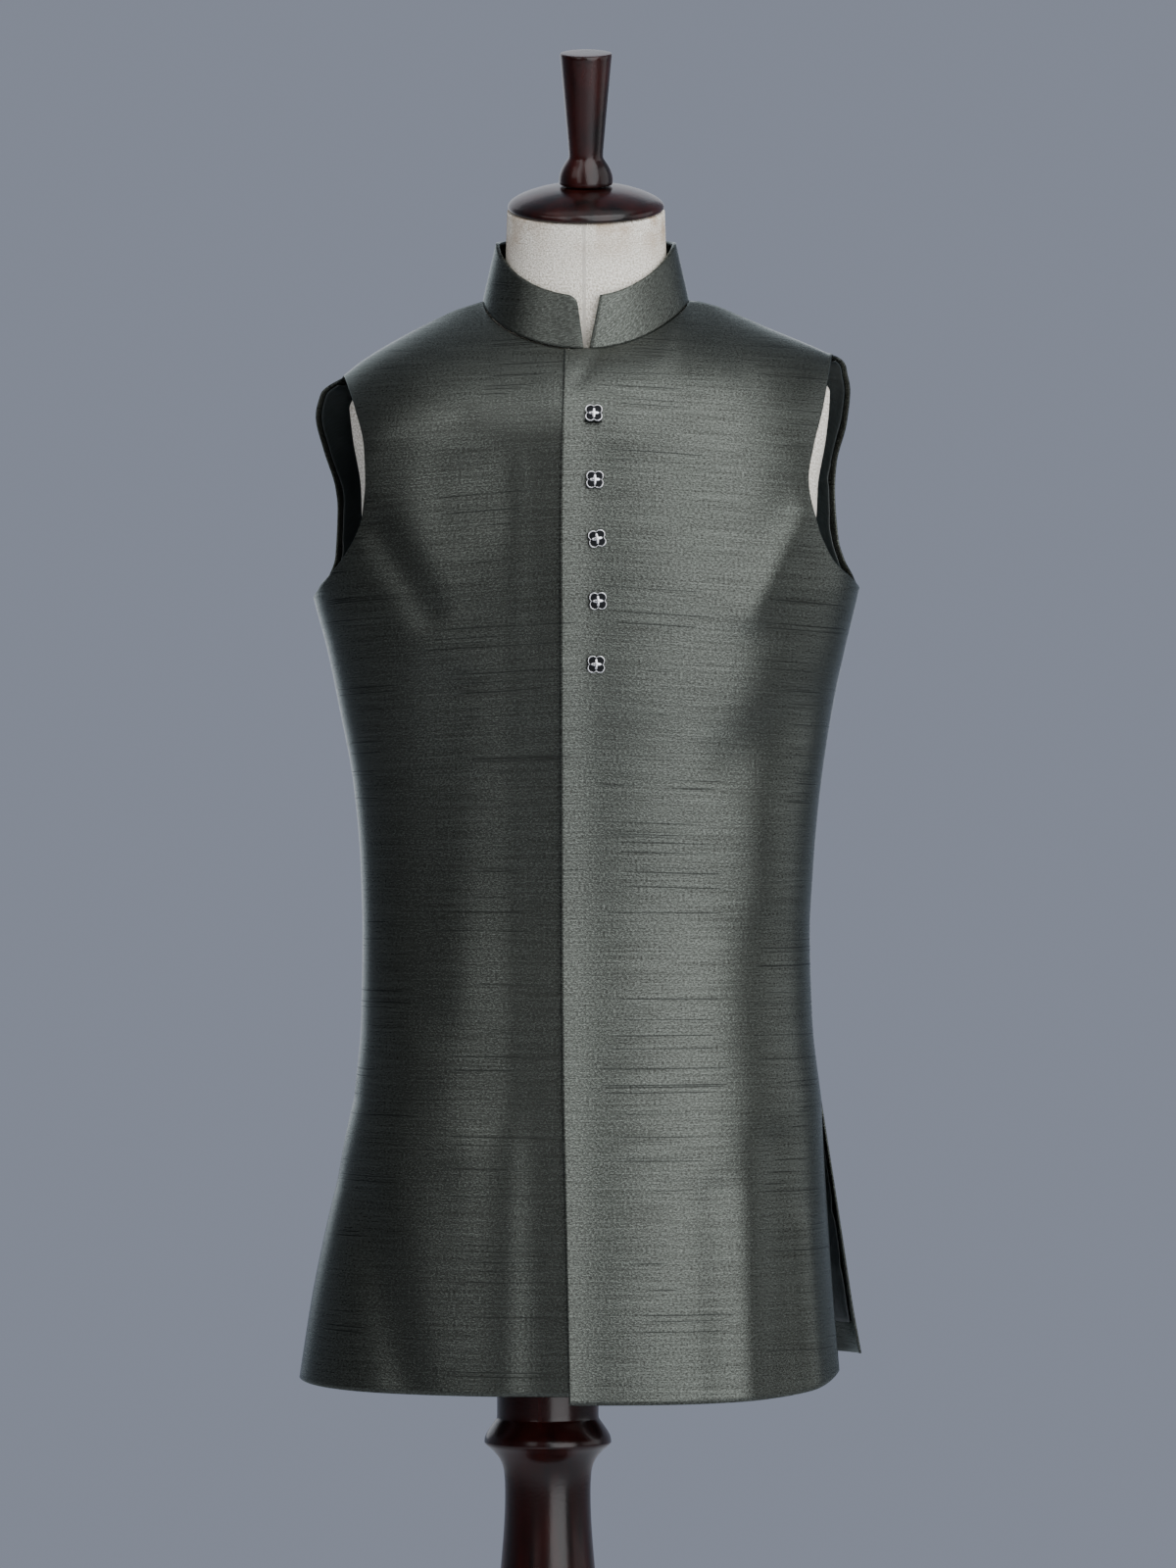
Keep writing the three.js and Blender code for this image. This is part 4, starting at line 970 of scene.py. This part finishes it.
def facing_slots(outer):
    """1 for the lined faces, and 0 for those in the facing along the front, the side and the hem."""
    across = np.linalg.norm(np.diff(outer, axis=1), axis=-1)[:-1]
    up = np.linalg.norm(np.diff(outer, axis=0), axis=-1)[:, :-1]
    near = across.cumsum(1) < FACING
    near |= across[:, ::-1].cumsum(1)[:, ::-1] < FACING
    near |= up.cumsum(0) < FACING * 2
    return (~near).astype(int)


print("facing:", FACING, "mm")


# %% Make the fronts
def make_front(name, panel, side, lift):
    """One front: its rows and columns, its wall and its lined inside."""
    rows = panel_rows()
    s = front_shares(rows, side)
    t = np.repeat(rows[:, None], s.shape[1], 1)
    outer, inner = panel_grids(panel, s, t, lift(s, t), WALL)
    flat = flat_lengths(outer, int(np.argmin(np.abs(s[0]))))
    flat[..., 1] = warp_lengths("front", outer)
    finishes = [olive_silk, dark_satin]
    return wall_object(name, outer, inner, flat, False, finishes, facing_slots(outer))


front_right = make_front("front_right_silk", UNDER, "right", lambda s, t: np.zeros_like(s))
front_left = make_front("front_left_silk", OVER, "left", over_lift)
for piece in (front_right, front_left):
    print(piece.name, len(piece.data.polygons), "faces")

# %% [markdown]
# The back and its lining
#
# The back is one wide panel. Its satin lining hangs inside it, a little short of the armholes and
# the hem, and it is cut slightly loose, so it wrinkles softly. Satin could be just the inside of the
# back's wall, as in the fronts, but here the armholes show its own edge and wrinkles, so it is
# a sheet of its own.


# %% Back
def back_grid():
    """Columns from the right edge (-1) to the left one (1), and rows, for the whole back."""
    rows = panel_rows()
    right, left = (half_shares("back", side) for side in SIDES)
    shares = np.concatenate([-right[:0:-1], left])
    t = np.repeat(rows[:, None], len(shares), 1)
    s = np.tile(shares, (len(rows), 1))
    return s, t


back_s, back_t = back_grid()
outer, inner = panel_grids(BACK, back_s, back_t, np.zeros_like(back_s), WALL)
back_flat = flat_lengths(outer, int(np.argmin(np.abs(back_s[0]))))
back_flat[..., 1] = warp_lengths("back", outer)
back = wall_object("back_silk", outer, inner, back_flat, True, [olive_silk])
print(back.name, len(back.data.polygons), "faces")

# %% Back lining
LINING_GAP = 0.6
LINING_WALL = 0.8
LINING_HEM = 24.8
LINING_SIDE = 0.95
LINING_TOP = 2.976
LINING_FOLDS = [
    (-196, 1330, -150, 1310, 7, 1.6), (-200, 1290, -160, 1262, 8, 1.4),
    (-198, 1240, -150, 1228, 6, 1.2), (200, 1335, 160, 1322, 8, 1.5),
    (202, 1300, 158, 1296, 6, 1.7), (204, 1262, 150, 1240, 9, 1.5), (206, 1225, 160, 1218, 5, 1.1),
    (210, 720, 180, 700, 6, 1.2), (212, 670, 186, 664, 6, 1.0),
]


def make_lining():
    """The back's own sheet, moved in by its wall and a gap, and stopped short of the edges."""
    keep = np.abs(back_s[0]) <= LINING_SIDE
    rows = back_t[:, 0]
    z = body_point(BACK, back_s[:, :1] * 0, back_t[:, :1])[:, 0, 2]
    used = (z > BACK["hem"] + LINING_HEM) & (rows <= LINING_TOP)
    s, t = back_s[used][:, keep], back_t[used][:, keep]
    point = body_point(BACK, s, t)
    lift = -(WALL + LINING_GAP) - ridges(point, LINING_FOLDS)
    outer, inner = panel_grids(BACK, s, t, lift, LINING_WALL)
    flat = flat_lengths(outer, int(np.argmin(np.abs(s[0]))))
    return wall_object("back_lining_satin", outer, inner, flat, True, [dark_satin])


back_lining = make_lining()
print(back_lining.name, len(back_lining.data.polygons), "faces")

# %% [markdown]
# The stand collar
#
# The collar is a stiffened band, 46 mm high and 3 mm thick, that leans in towards the neck. Its
# right end is rounded and its left end is square, and both stand a little apart at the top. A flat
# band could be bent round, but the two rings that it joins aren't level, so it is spanned between
# them instead. Its silk is cut on the slant, so its weave is turned in the flat.

# %% Collar
COLLAR_WALL = 3
COLLAR_TOP = {
    "half": 71.5, "back": -10.5, "front": 62.5, "rear": 62, "side": 1483, "drop": 46.5, "rise": 9,
}
COLLAR_END = {"right": (-1.6, -6), "left": (2.4, 11)}
COLLAR_CORNER = 9
COLLAR_STAND = 0.35
COLLAR_LEAN = 0.18
COLLAR_CORNER_FROM = 0.96
BIAS = math.radians(38)


def make_collar():
    """A band of rows from the neckline up, with finer columns where its right corner rounds."""
    h = np.linspace(0, 1, 18)[:, None]
    half = mix(NECK["half"], COLLAR_TOP["half"], h)
    start = np.arcsin(mix(*COLLAR_END["left"], h) / half)
    end = 2 * np.pi + np.arcsin(mix(*COLLAR_END["right"], h) / half)
    plain = np.linspace(0, COLLAR_CORNER_FROM, 150, endpoint=False)
    steps = np.concatenate([plain, np.linspace(COLLAR_CORNER_FROM, 1, 22)])
    turn = mix(start, end, steps[None, :])
    low = ring_point(NECK, turn)
    high = ring_point(COLLAR_TOP, turn)
    low = low + unit(high - low) * COLLAR_STAND
    from_end = (end - turn) * COLLAR_TOP["half"]
    cut = np.maximum(0, 1 - from_end / COLLAR_CORNER)
    corner = (1 - np.sqrt(1 - cut * cut)) * COLLAR_CORNER
    share = h * (1 - corner / np.linalg.norm(high - low, axis=-1))
    outer = low + (high - low) * share[..., None]
    lean = np.stack([np.sin(turn), -np.cos(turn), np.full_like(turn, COLLAR_LEAN)], -1)
    inner = outer - unit(lean) * COLLAR_WALL
    u, v = np.moveaxis(flat_lengths(outer, 0), -1, 0)
    slant, rise = math.cos(BIAS), math.sin(BIAS)
    flat = np.stack([u * slant + v * rise, v * slant - u * rise], -1)
    return wall_object("collar_silk", outer, inner, flat, False, [olive_silk])


collar = make_collar()
print(collar.name, len(collar.data.polygons), "faces")

# %% [markdown]
# The dress form
#
# The form is a padded torso under canvas, without arms. It narrows over the shoulders into a neck
# that leans forward a little. The two could be joined as solids, which leaves a hard crease. So rings
# of points are found from the bottom up, where a ray from the middle leaves the torso or the neck,
# whichever is further out, and the step between them is rounded off.

# %% Sizes of the form
FORM_WIDTHS = table(
    "z half",
    [
        (700, 158), (790, 160), (870, 152), (950, 148), (1050, 158), (1150, 171), (1220, 176),
        (1285, 177), (1330, 184), (1365, 187), (1450, 187),
    ],
)
form_width_of = through(FORM_WIDTHS, "z", "half")
FORM_DROP = 3.3
# The form's shoulder rises towards the neck, and from SHOULDER_END out it falls off.
NECK_SLOPE = 0.12
SHOULDER_END = 150
SHOULDER_RUN = 37
SHOULDER_FALL = 26
# How deep the torso rounds over and how squarely, at the centre and at the shoulder.
FORM_ROUNDING = (230, 112)
FORM_ROUND_POWER = (1, 0.8)
CAP_Y, CAP_Z, CAP_TIP = -22, 1507, math.radians(15.5)
# The neck's measures at its foot and under the cap, a few millimetres wider than its solid's.
NECK_FORM = {
    "half": (65.5, 62.4), "depth": (55, 57), "centre": (-9, CAP_Y), "low": 1425, "foot": 1340
}
# How much the form's shoulders are wider than its solid, so that they fill the armholes.
FORM_WIDER = {"right": 1.5, "left": 7}


def wider(x):
    """The extra width of the form's shoulder on the side of x."""
    return np.where(x < 0, FORM_WIDER["right"], FORM_WIDER["left"])


def form_shoulder(x):
    """The height of the form's shoulder line, which falls off at its end."""
    far = np.abs(x)
    line = np.where(
        x < 0,
        shoulder_of["right"](np.maximum(far, NECK["half"])),
        shoulder_of["left"](np.maximum(far, NECK["half"])),
    )
    inside = np.maximum(0, NECK["half"] - far) * NECK_SLOPE
    end = np.maximum(0, far - SHOULDER_END) / (SHOULDER_RUN + wider(x))
    return line - FORM_DROP + inside - SHOULDER_FALL * end**2


print("form's shoulder line:", form_shoulder(np.array([-150.0, 150.0])).round(1))


# %% Inside the torso or the neck
def inside_torso(x, y, z):
    """Whether points are inside the torso, a squared oval that rounds over to the shoulders."""
    front = y < SEAM_BACK
    below = form_shoulder(x) - z
    half = form_width_of(z) + wider(x) * smooth((z - 1190) / 90)
    far = np.abs(x)
    oval = np.maximum(0, 1 - (far / half) ** BODY_POWER) ** (1 / BODY_POWER)
    near = smooth(far / 170)
    low = 1 - (1 - np.clip(below / mix(*FORM_ROUNDING, near), 0, 1)) ** 2
    low = low ** mix(*FORM_ROUND_POWER, near)
    depth = np.where(front, -form_depth_of["front"](z), form_depth_of["back"](z))
    bound = mix(SEAM_BACK, depth * oval, low)
    return (below > 0) & (far < half) & np.where(front, y >= bound, y <= bound)


def inside_neck(x, y, z):
    """Whether points are inside the neck, an upright oval that leans."""
    share = np.clip((z - NECK_FORM["low"]) / (CAP_Z - NECK_FORM["low"]), 0, 1)
    half, depth = mix(*NECK_FORM["half"], share), mix(*NECK_FORM["depth"], share)
    centre = mix(*NECK_FORM["centre"], share)
    return (z > NECK_FORM["foot"]) & ((x / half) ** 2 + ((y - centre) / depth) ** 2 <= 1)


print("middle is inside:", bool(inside_torso(np.array(0.0), np.array(0.0), np.array(1200.0))))

# %% Rings of the form
# Where a ray starts to reach for the neck: its half-width and depth, and the torso's depth.
NECK_RAY = (59, 57)
TORSO_RAY = 110
# The step from the torso to the neck is rounded off over this share of a ray.
JOIN = 0.18


def reach_of(inside, centre_y, dx, dy, z):
    """How many times (dx, dy) a ray from the middle runs before it leaves the inside."""
    low, high = np.zeros_like(dx), np.full_like(dx, 3.6)
    for _ in range(30):
        middle = (low + high) / 2
        held = inside(dx * middle, centre_y + dy * middle, z)
        low, high = np.where(held, middle, low), np.where(held, high, middle)
    return np.where(inside(np.zeros_like(dx), centre_y, z), low, 0)


def form_points(turn, z):
    """Points of the form at a turn from the centre front and a height."""
    centre_y = mix(SEAM_BACK, CAP_Y, smooth((z - 1440) / 60))
    narrow = smooth((z - 1330) / 110)
    dx = mix(form_width_of(z) + wider(np.sin(turn)), NECK_RAY[0], narrow) * np.sin(turn)
    dy = -mix(TORSO_RAY, NECK_RAY[1], narrow) * np.cos(turn)
    torso = reach_of(inside_torso, centre_y, dx, dy, z)
    neck = reach_of(inside_neck, centre_y, dx, dy, z)
    apart = np.clip(0.5 + (neck - torso) / JOIN, 0, 1)
    reach = mix(torso, neck, apart) + JOIN / 2 * apart * (1 - apart)
    y = centre_y + dy * reach
    tip = np.tan(CAP_TIP) * smooth((z - 1448) / 59)
    return np.stack([dx * reach, y, z + tip * (y - CAP_Y)], -1)


print("chest of the form:", form_points(np.array([0.0]), np.array([1250.0])).round(1))


# %% Close rings into a mesh
def closed_rings(name, rings, flat, materials):
    """A closed mesh through rings from the bottom up, capped at both ends."""
    rows, columns = rings.shape[:2]
    index = np.arange(rows * columns).reshape(rows, columns)
    ahead = np.roll(index, -1, 1)
    a, b = index[:-1].ravel(), ahead[:-1].ravel()
    c, d = ahead[1:].ravel(), index[1:].ravel()
    faces = [list(f) for f in np.stack([a, b, c, d], -1)]
    count = rows * columns
    points = np.concatenate([rings.reshape(-1, 3), rings[0].mean(0)[None], rings[-1].mean(0)[None]])
    faces += [[int(ahead[0, k]), int(index[0, k]), count] for k in range(columns)]
    faces += [[int(index[-1, k]), int(ahead[-1, k]), count + 1] for k in range(columns)]
    flats = np.concatenate([flat.reshape(-1, 2), flat[0, :1], flat[-1, :1]])
    return mesh_object(name, points, faces, flats, materials, [0] * len(faces))


# %% Make the form
FORM_COLUMNS = 128


def make_form():
    """Rings from the form's foot to its cap, closer together at the foot and the shoulders."""
    bands = [(700, 706, 5), (712, 1330, 90), (1334, 1450, 60), (1453, CAP_Z, 24)]
    z = np.concatenate([np.linspace(*band) for band in bands])
    turn = np.linspace(0, 2 * np.pi, FORM_COLUMNS, endpoint=False)
    turn, z = np.broadcast_arrays(turn[None, :], z[:, None])
    rings = form_points(turn, z)
    foot = np.clip((z - 700) / 8, 0, 1)
    rings[..., :2] *= (0.95 + 0.05 * np.sqrt(1 - (1 - foot) ** 2))[..., None]
    flat = np.stack([turn * 110, z], -1)
    return closed_rings("form_torso_canvas", rings, flat, [cream_canvas])


form_torso = make_form()
print(form_torso.name, len(form_torso.data.polygons), "faces")

# %% [markdown]
# Turned wood
#
# The cap, its handle, the column and the foot are turned on a lathe. They could be stacked from
# cylinders and rings, but a turner cuts one running line, so each is one profile spun about an axis.
# The profile is a smooth curve through a few measured radii, with a tight step where the turner left
# a crisp line.

# %% Profiles of the turned pieces
# Each profile point: the radius and the height.
CAP_PROFILE = [
    (0, 0.4), (50, 0.4), (60.6, 0.9), (62.3, 3.4), (60.7, 7), (54, 11.5), (41.5, 16.2), (27, 19.6),
    (12, 20.9), (0, 21),
]
FINIAL_PROFILE = [
    (0, 21.4), (20.4, 21.4), (21.3, 23), (21.5, 26), (20.5, 31), (18, 36.5), (14.8, 41.2),
    (13.9, 42.6), (13.5, 44.4), (14, 52), (20.2, 121), (20.6, 124.6), (19.9, 126.4), (0, 126.5),
]
COLUMN_PROFILE = [
    (0, 62.3), (47, 62.3), (49, 72), (44, 84), (33, 92), (30, 104), (38, 113), (40, 121),
    (34, 130), (28, 146), (31, 200), (40, 290), (42.5, 345), (41, 395), (37.4, 430), (34.2, 470),
    (34, 502), (36.4, 514), (43.3, 523), (50.4, 528.4), (50.6, 531), (49.6, 535.6), (45, 542.6),
    (41, 548), (40.4, 549.5), (40.5, 560), (40.5, 699.7), (0, 699.7),
]
BASE_PROFILE = [
    (0, 0), (204, 0), (209, 3), (210, 8), (210, 19), (207, 25), (199, 29.6), (150, 39), (96, 49),
    (70, 56), (64, 62), (0, 62),
]
PROFILES = (CAP_PROFILE, FINIAL_PROFILE, COLUMN_PROFILE, BASE_PROFILE)
print("profile points:", [len(profile) for profile in PROFILES])

# %% Spin the profiles
SPIN_STEPS = 96


def finer_profile(profile):
    """The profile with its corners rounded by cutting them twice."""
    points = np.array(profile, float)
    for _ in range(2):
        a, b = points[:-1], points[1:]
        near, far = mix(a, b, 0.25), mix(a, b, 0.75)
        body = np.stack([near, far], 1).reshape(-1, 2)
        points = np.concatenate([points[:1], body[1:-1], points[-1:]])
    return points


def spun(name, profile, place, tip, material):
    """A profile spun about an upright axis, tipped forward and set in its place."""
    points = finer_profile(profile)[1:-1]
    turn = np.linspace(0, 2 * np.pi, SPIN_STEPS, endpoint=False)
    radius, height = points[:, 0, None], points[:, 1, None]
    x, y = radius * np.cos(turn), radius * np.sin(turn)
    z = np.broadcast_to(height, x.shape)
    rings = np.stack([x, y * np.cos(tip) - z * np.sin(tip), y * np.sin(tip) + z * np.cos(tip)], -1)
    rings = rings + place - (TORSO_SHIFT, 0, 0)
    flat = np.stack([np.broadcast_to(turn * 40, x.shape), z], -1)
    return closed_rings(name, rings, flat, [material])


CAP_PLACE = (TORSO_SHIFT, CAP_Y, CAP_Z)
neck_cap = spun("neck_cap_turned", CAP_PROFILE, CAP_PLACE, CAP_TIP, mahogany)
finial = spun("finial_turned", FINIAL_PROFILE, CAP_PLACE, CAP_TIP, mahogany)
column = spun("column_turned", COLUMN_PROFILE, (0, 0, 0), 0, mahogany)
base = spun("base_turned", BASE_PROFILE, (0, 0, 0), 0, mahogany)
print("turned:", [p.name for p in (neck_cap, finial, column, base)])

# %% [markdown]
# Buttons
#
# Five square cast buttons stand on the over front, each with a gunmetal body, a bright raised rim
# with a lobe at each corner, and a small bright four-petal flower in a dark recess. They could be
# cut from a block, but a casting has soft edges everywhere, so each shape is a stack of outlines
# that draw in a little at the top. They stand where they were sewn, so no two line up exactly.

# %% Outlines of a button
# Each button: how far it is from the centre, its height, and its turn in degrees.
BUTTONS = [(6.1, 1339, 0), (6.9, 1289, 0), (8.6, 1243.5, 10), (9.3, 1195.5, 3), (7.9, 1146.5, 0)]
BUTTON_HALF = 6.8
BUTTON_BODY = 4.4
BUTTON_STAND = 0.9
OUTLINE_STEPS = 64
OUTLINE_TURN = np.linspace(0, 2 * np.pi, OUTLINE_STEPS, endpoint=False)


def outline(reach):
    """A closed outline from its reach at each turn."""
    return np.stack([reach * np.cos(OUTLINE_TURN), reach * np.sin(OUTLINE_TURN)], -1)


def lobed_outline(half):
    """The outline of four overlapping round lobes, one at each corner of a square."""
    lobe, off = 0.57 * half, 0.43 * half
    from_corner = OUTLINE_TURN % (np.pi / 2) - np.pi / 4
    side = off * math.sqrt(2) * np.sin(from_corner)
    return outline(off * math.sqrt(2) * np.cos(from_corner) + np.sqrt(lobe**2 - side**2))


def petal_outline(eye, tip):
    """Four petals that point at the middles of the sides."""
    return outline(eye + (tip - eye) * np.abs(np.cos(2 * OUTLINE_TURN)) ** 2.4)


def stacked(outlines):
    """Rings from (outline, height) pairs."""
    return np.stack([np.column_stack([o, np.full(len(o), h)]) for o, h in outlines])


print("corner reach:", float(np.linalg.norm(lobed_outline(BUTTON_HALF), axis=1).max().round(2)), "mm")


# %% Places on the over front
def over_front_place(x, z):
    """The over front's point and outward direction at a place near the centre."""
    low, high = 1.0, 3.0
    for _ in range(40):
        t = (low + high) / 2
        s = share_of("front", "left", np.array([t]), np.array([x]))
        if body_point(OVER, s, np.array([t]))[0, 2] < z:
            low = t
        else:
            high = t
    t = np.array([low])
    s = share_of("front", "left", t, np.array([x]))
    point, normal = body_point(OVER, s, t), body_normal(OVER, s, t)
    lift = over_lift(s, t) + fold_rise(OVER, point, s, t) + BUTTON_STAND
    return (point + normal * lift)[0], normal[0]


print("first button at:", over_front_place(*BUTTONS[0][:2])[0].round(1))


# %% Make the buttons
def button_rings(kind):
    """The stacked outlines of a button's body, rim or centre."""
    top = BUTTON_BODY + 1.3
    if kind == "body":
        side = BUTTON_HALF - 0.2
        steps = [(side - 0.8, 0), (side, 0.6), (side, 3.8), (side - 0.4, 4.3), (side - 1.2, 4.4)]
        return stacked([(lobed_outline(half), height) for half, height in steps])
    if kind == "centre":
        steps = [(1, 4.5), (1, 4.9), (0.93, 5.4), (0.8, top), (0.4, top + 0.3), (0.1, top + 0.3)]
        return stacked([(petal_outline(2.1, 4.5) * size, height) for size, height in steps])
    steps = [(6.7, 4.5), (6.8, 5.1), (6.65, 5.5), (6.4, top), (6.1, top), (5.95, 5.5), (5.9, 4.5)]
    return stacked([(lobed_outline(half), height) for half, height in steps])


def placed(rings, point, normal, turn):
    """The rings turned about their own axis, aimed along the cloth's normal and moved to a point."""
    spin = Matrix.Rotation(math.radians(turn), 3, "Z")
    aim = Vector((0, 0, 1)).rotation_difference(Vector(normal)).to_matrix()
    matrix = np.array(aim @ spin)
    return rings @ matrix.T + point


def ring_band(name, rings, material):
    """A closed band: the rings join round and the last one joins the first."""
    rows, columns = rings.shape[:2]
    index = np.arange(rows * columns).reshape(rows, columns)
    ahead = np.roll(index, -1, 1)
    above, above_ahead = np.roll(index, -1, 0), np.roll(ahead, -1, 0)
    faces = np.stack([index, ahead, above_ahead, above], -1).reshape(-1, 4)
    flat = rings[..., :2].reshape(-1, 2)
    return mesh_object(name, rings.reshape(-1, 3), faces, flat, [material], [0] * len(faces))


buttons = []
for number, (x, z, turn) in enumerate(BUTTONS, 1):
    point, normal = over_front_place(x, z)
    name = f"button_{number}"
    body = placed(button_rings("body"), point, normal, turn)
    rim = placed(button_rings("rim"), point, normal, turn)
    centre = placed(button_rings("centre"), point, normal, turn)
    buttons.append((name, closed_rings(name + "_cast", body, body[..., :2], [gunmetal])))
    buttons.append((name + "_rim", ring_band(name + "_rim_plated", rim, bright_plate)))
    buttons.append(
        (name + "_centre", closed_rings(name + "_flower", centre, centre[..., :2], [bright_plate]))
    )
print("button pieces:", len(buttons))

# %% [markdown]
# Pieces on the body
#
# Each piece rides on the part's one body and stands for its solid, which is hidden.

# %% Pieces, the solids that they stand for and their finishes
PIECES = [
    (front_right, "front_right", "silk"),
    (front_left, "front_left", "silk"),
    (back, "back", "silk"),
    (back_lining, "back_lining", "satin"),
    (collar, "collar", "silk"),
    (form_torso, "form_torso", "canvas"),
    (neck_cap, "neck_cap", "lacquered_wood"),
    (finial, "finial", "lacquered_wood"),
    (column, "column", "lacquered_wood"),
    (base, "base", "lacquered_wood"),
]
for node, piece in buttons:
    PIECES.append((piece, node, "bright_metal" if "_" in node[7:] else "dark_metal"))
for piece, node, slot in PIECES:
    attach(piece, "root")
    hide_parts(node)
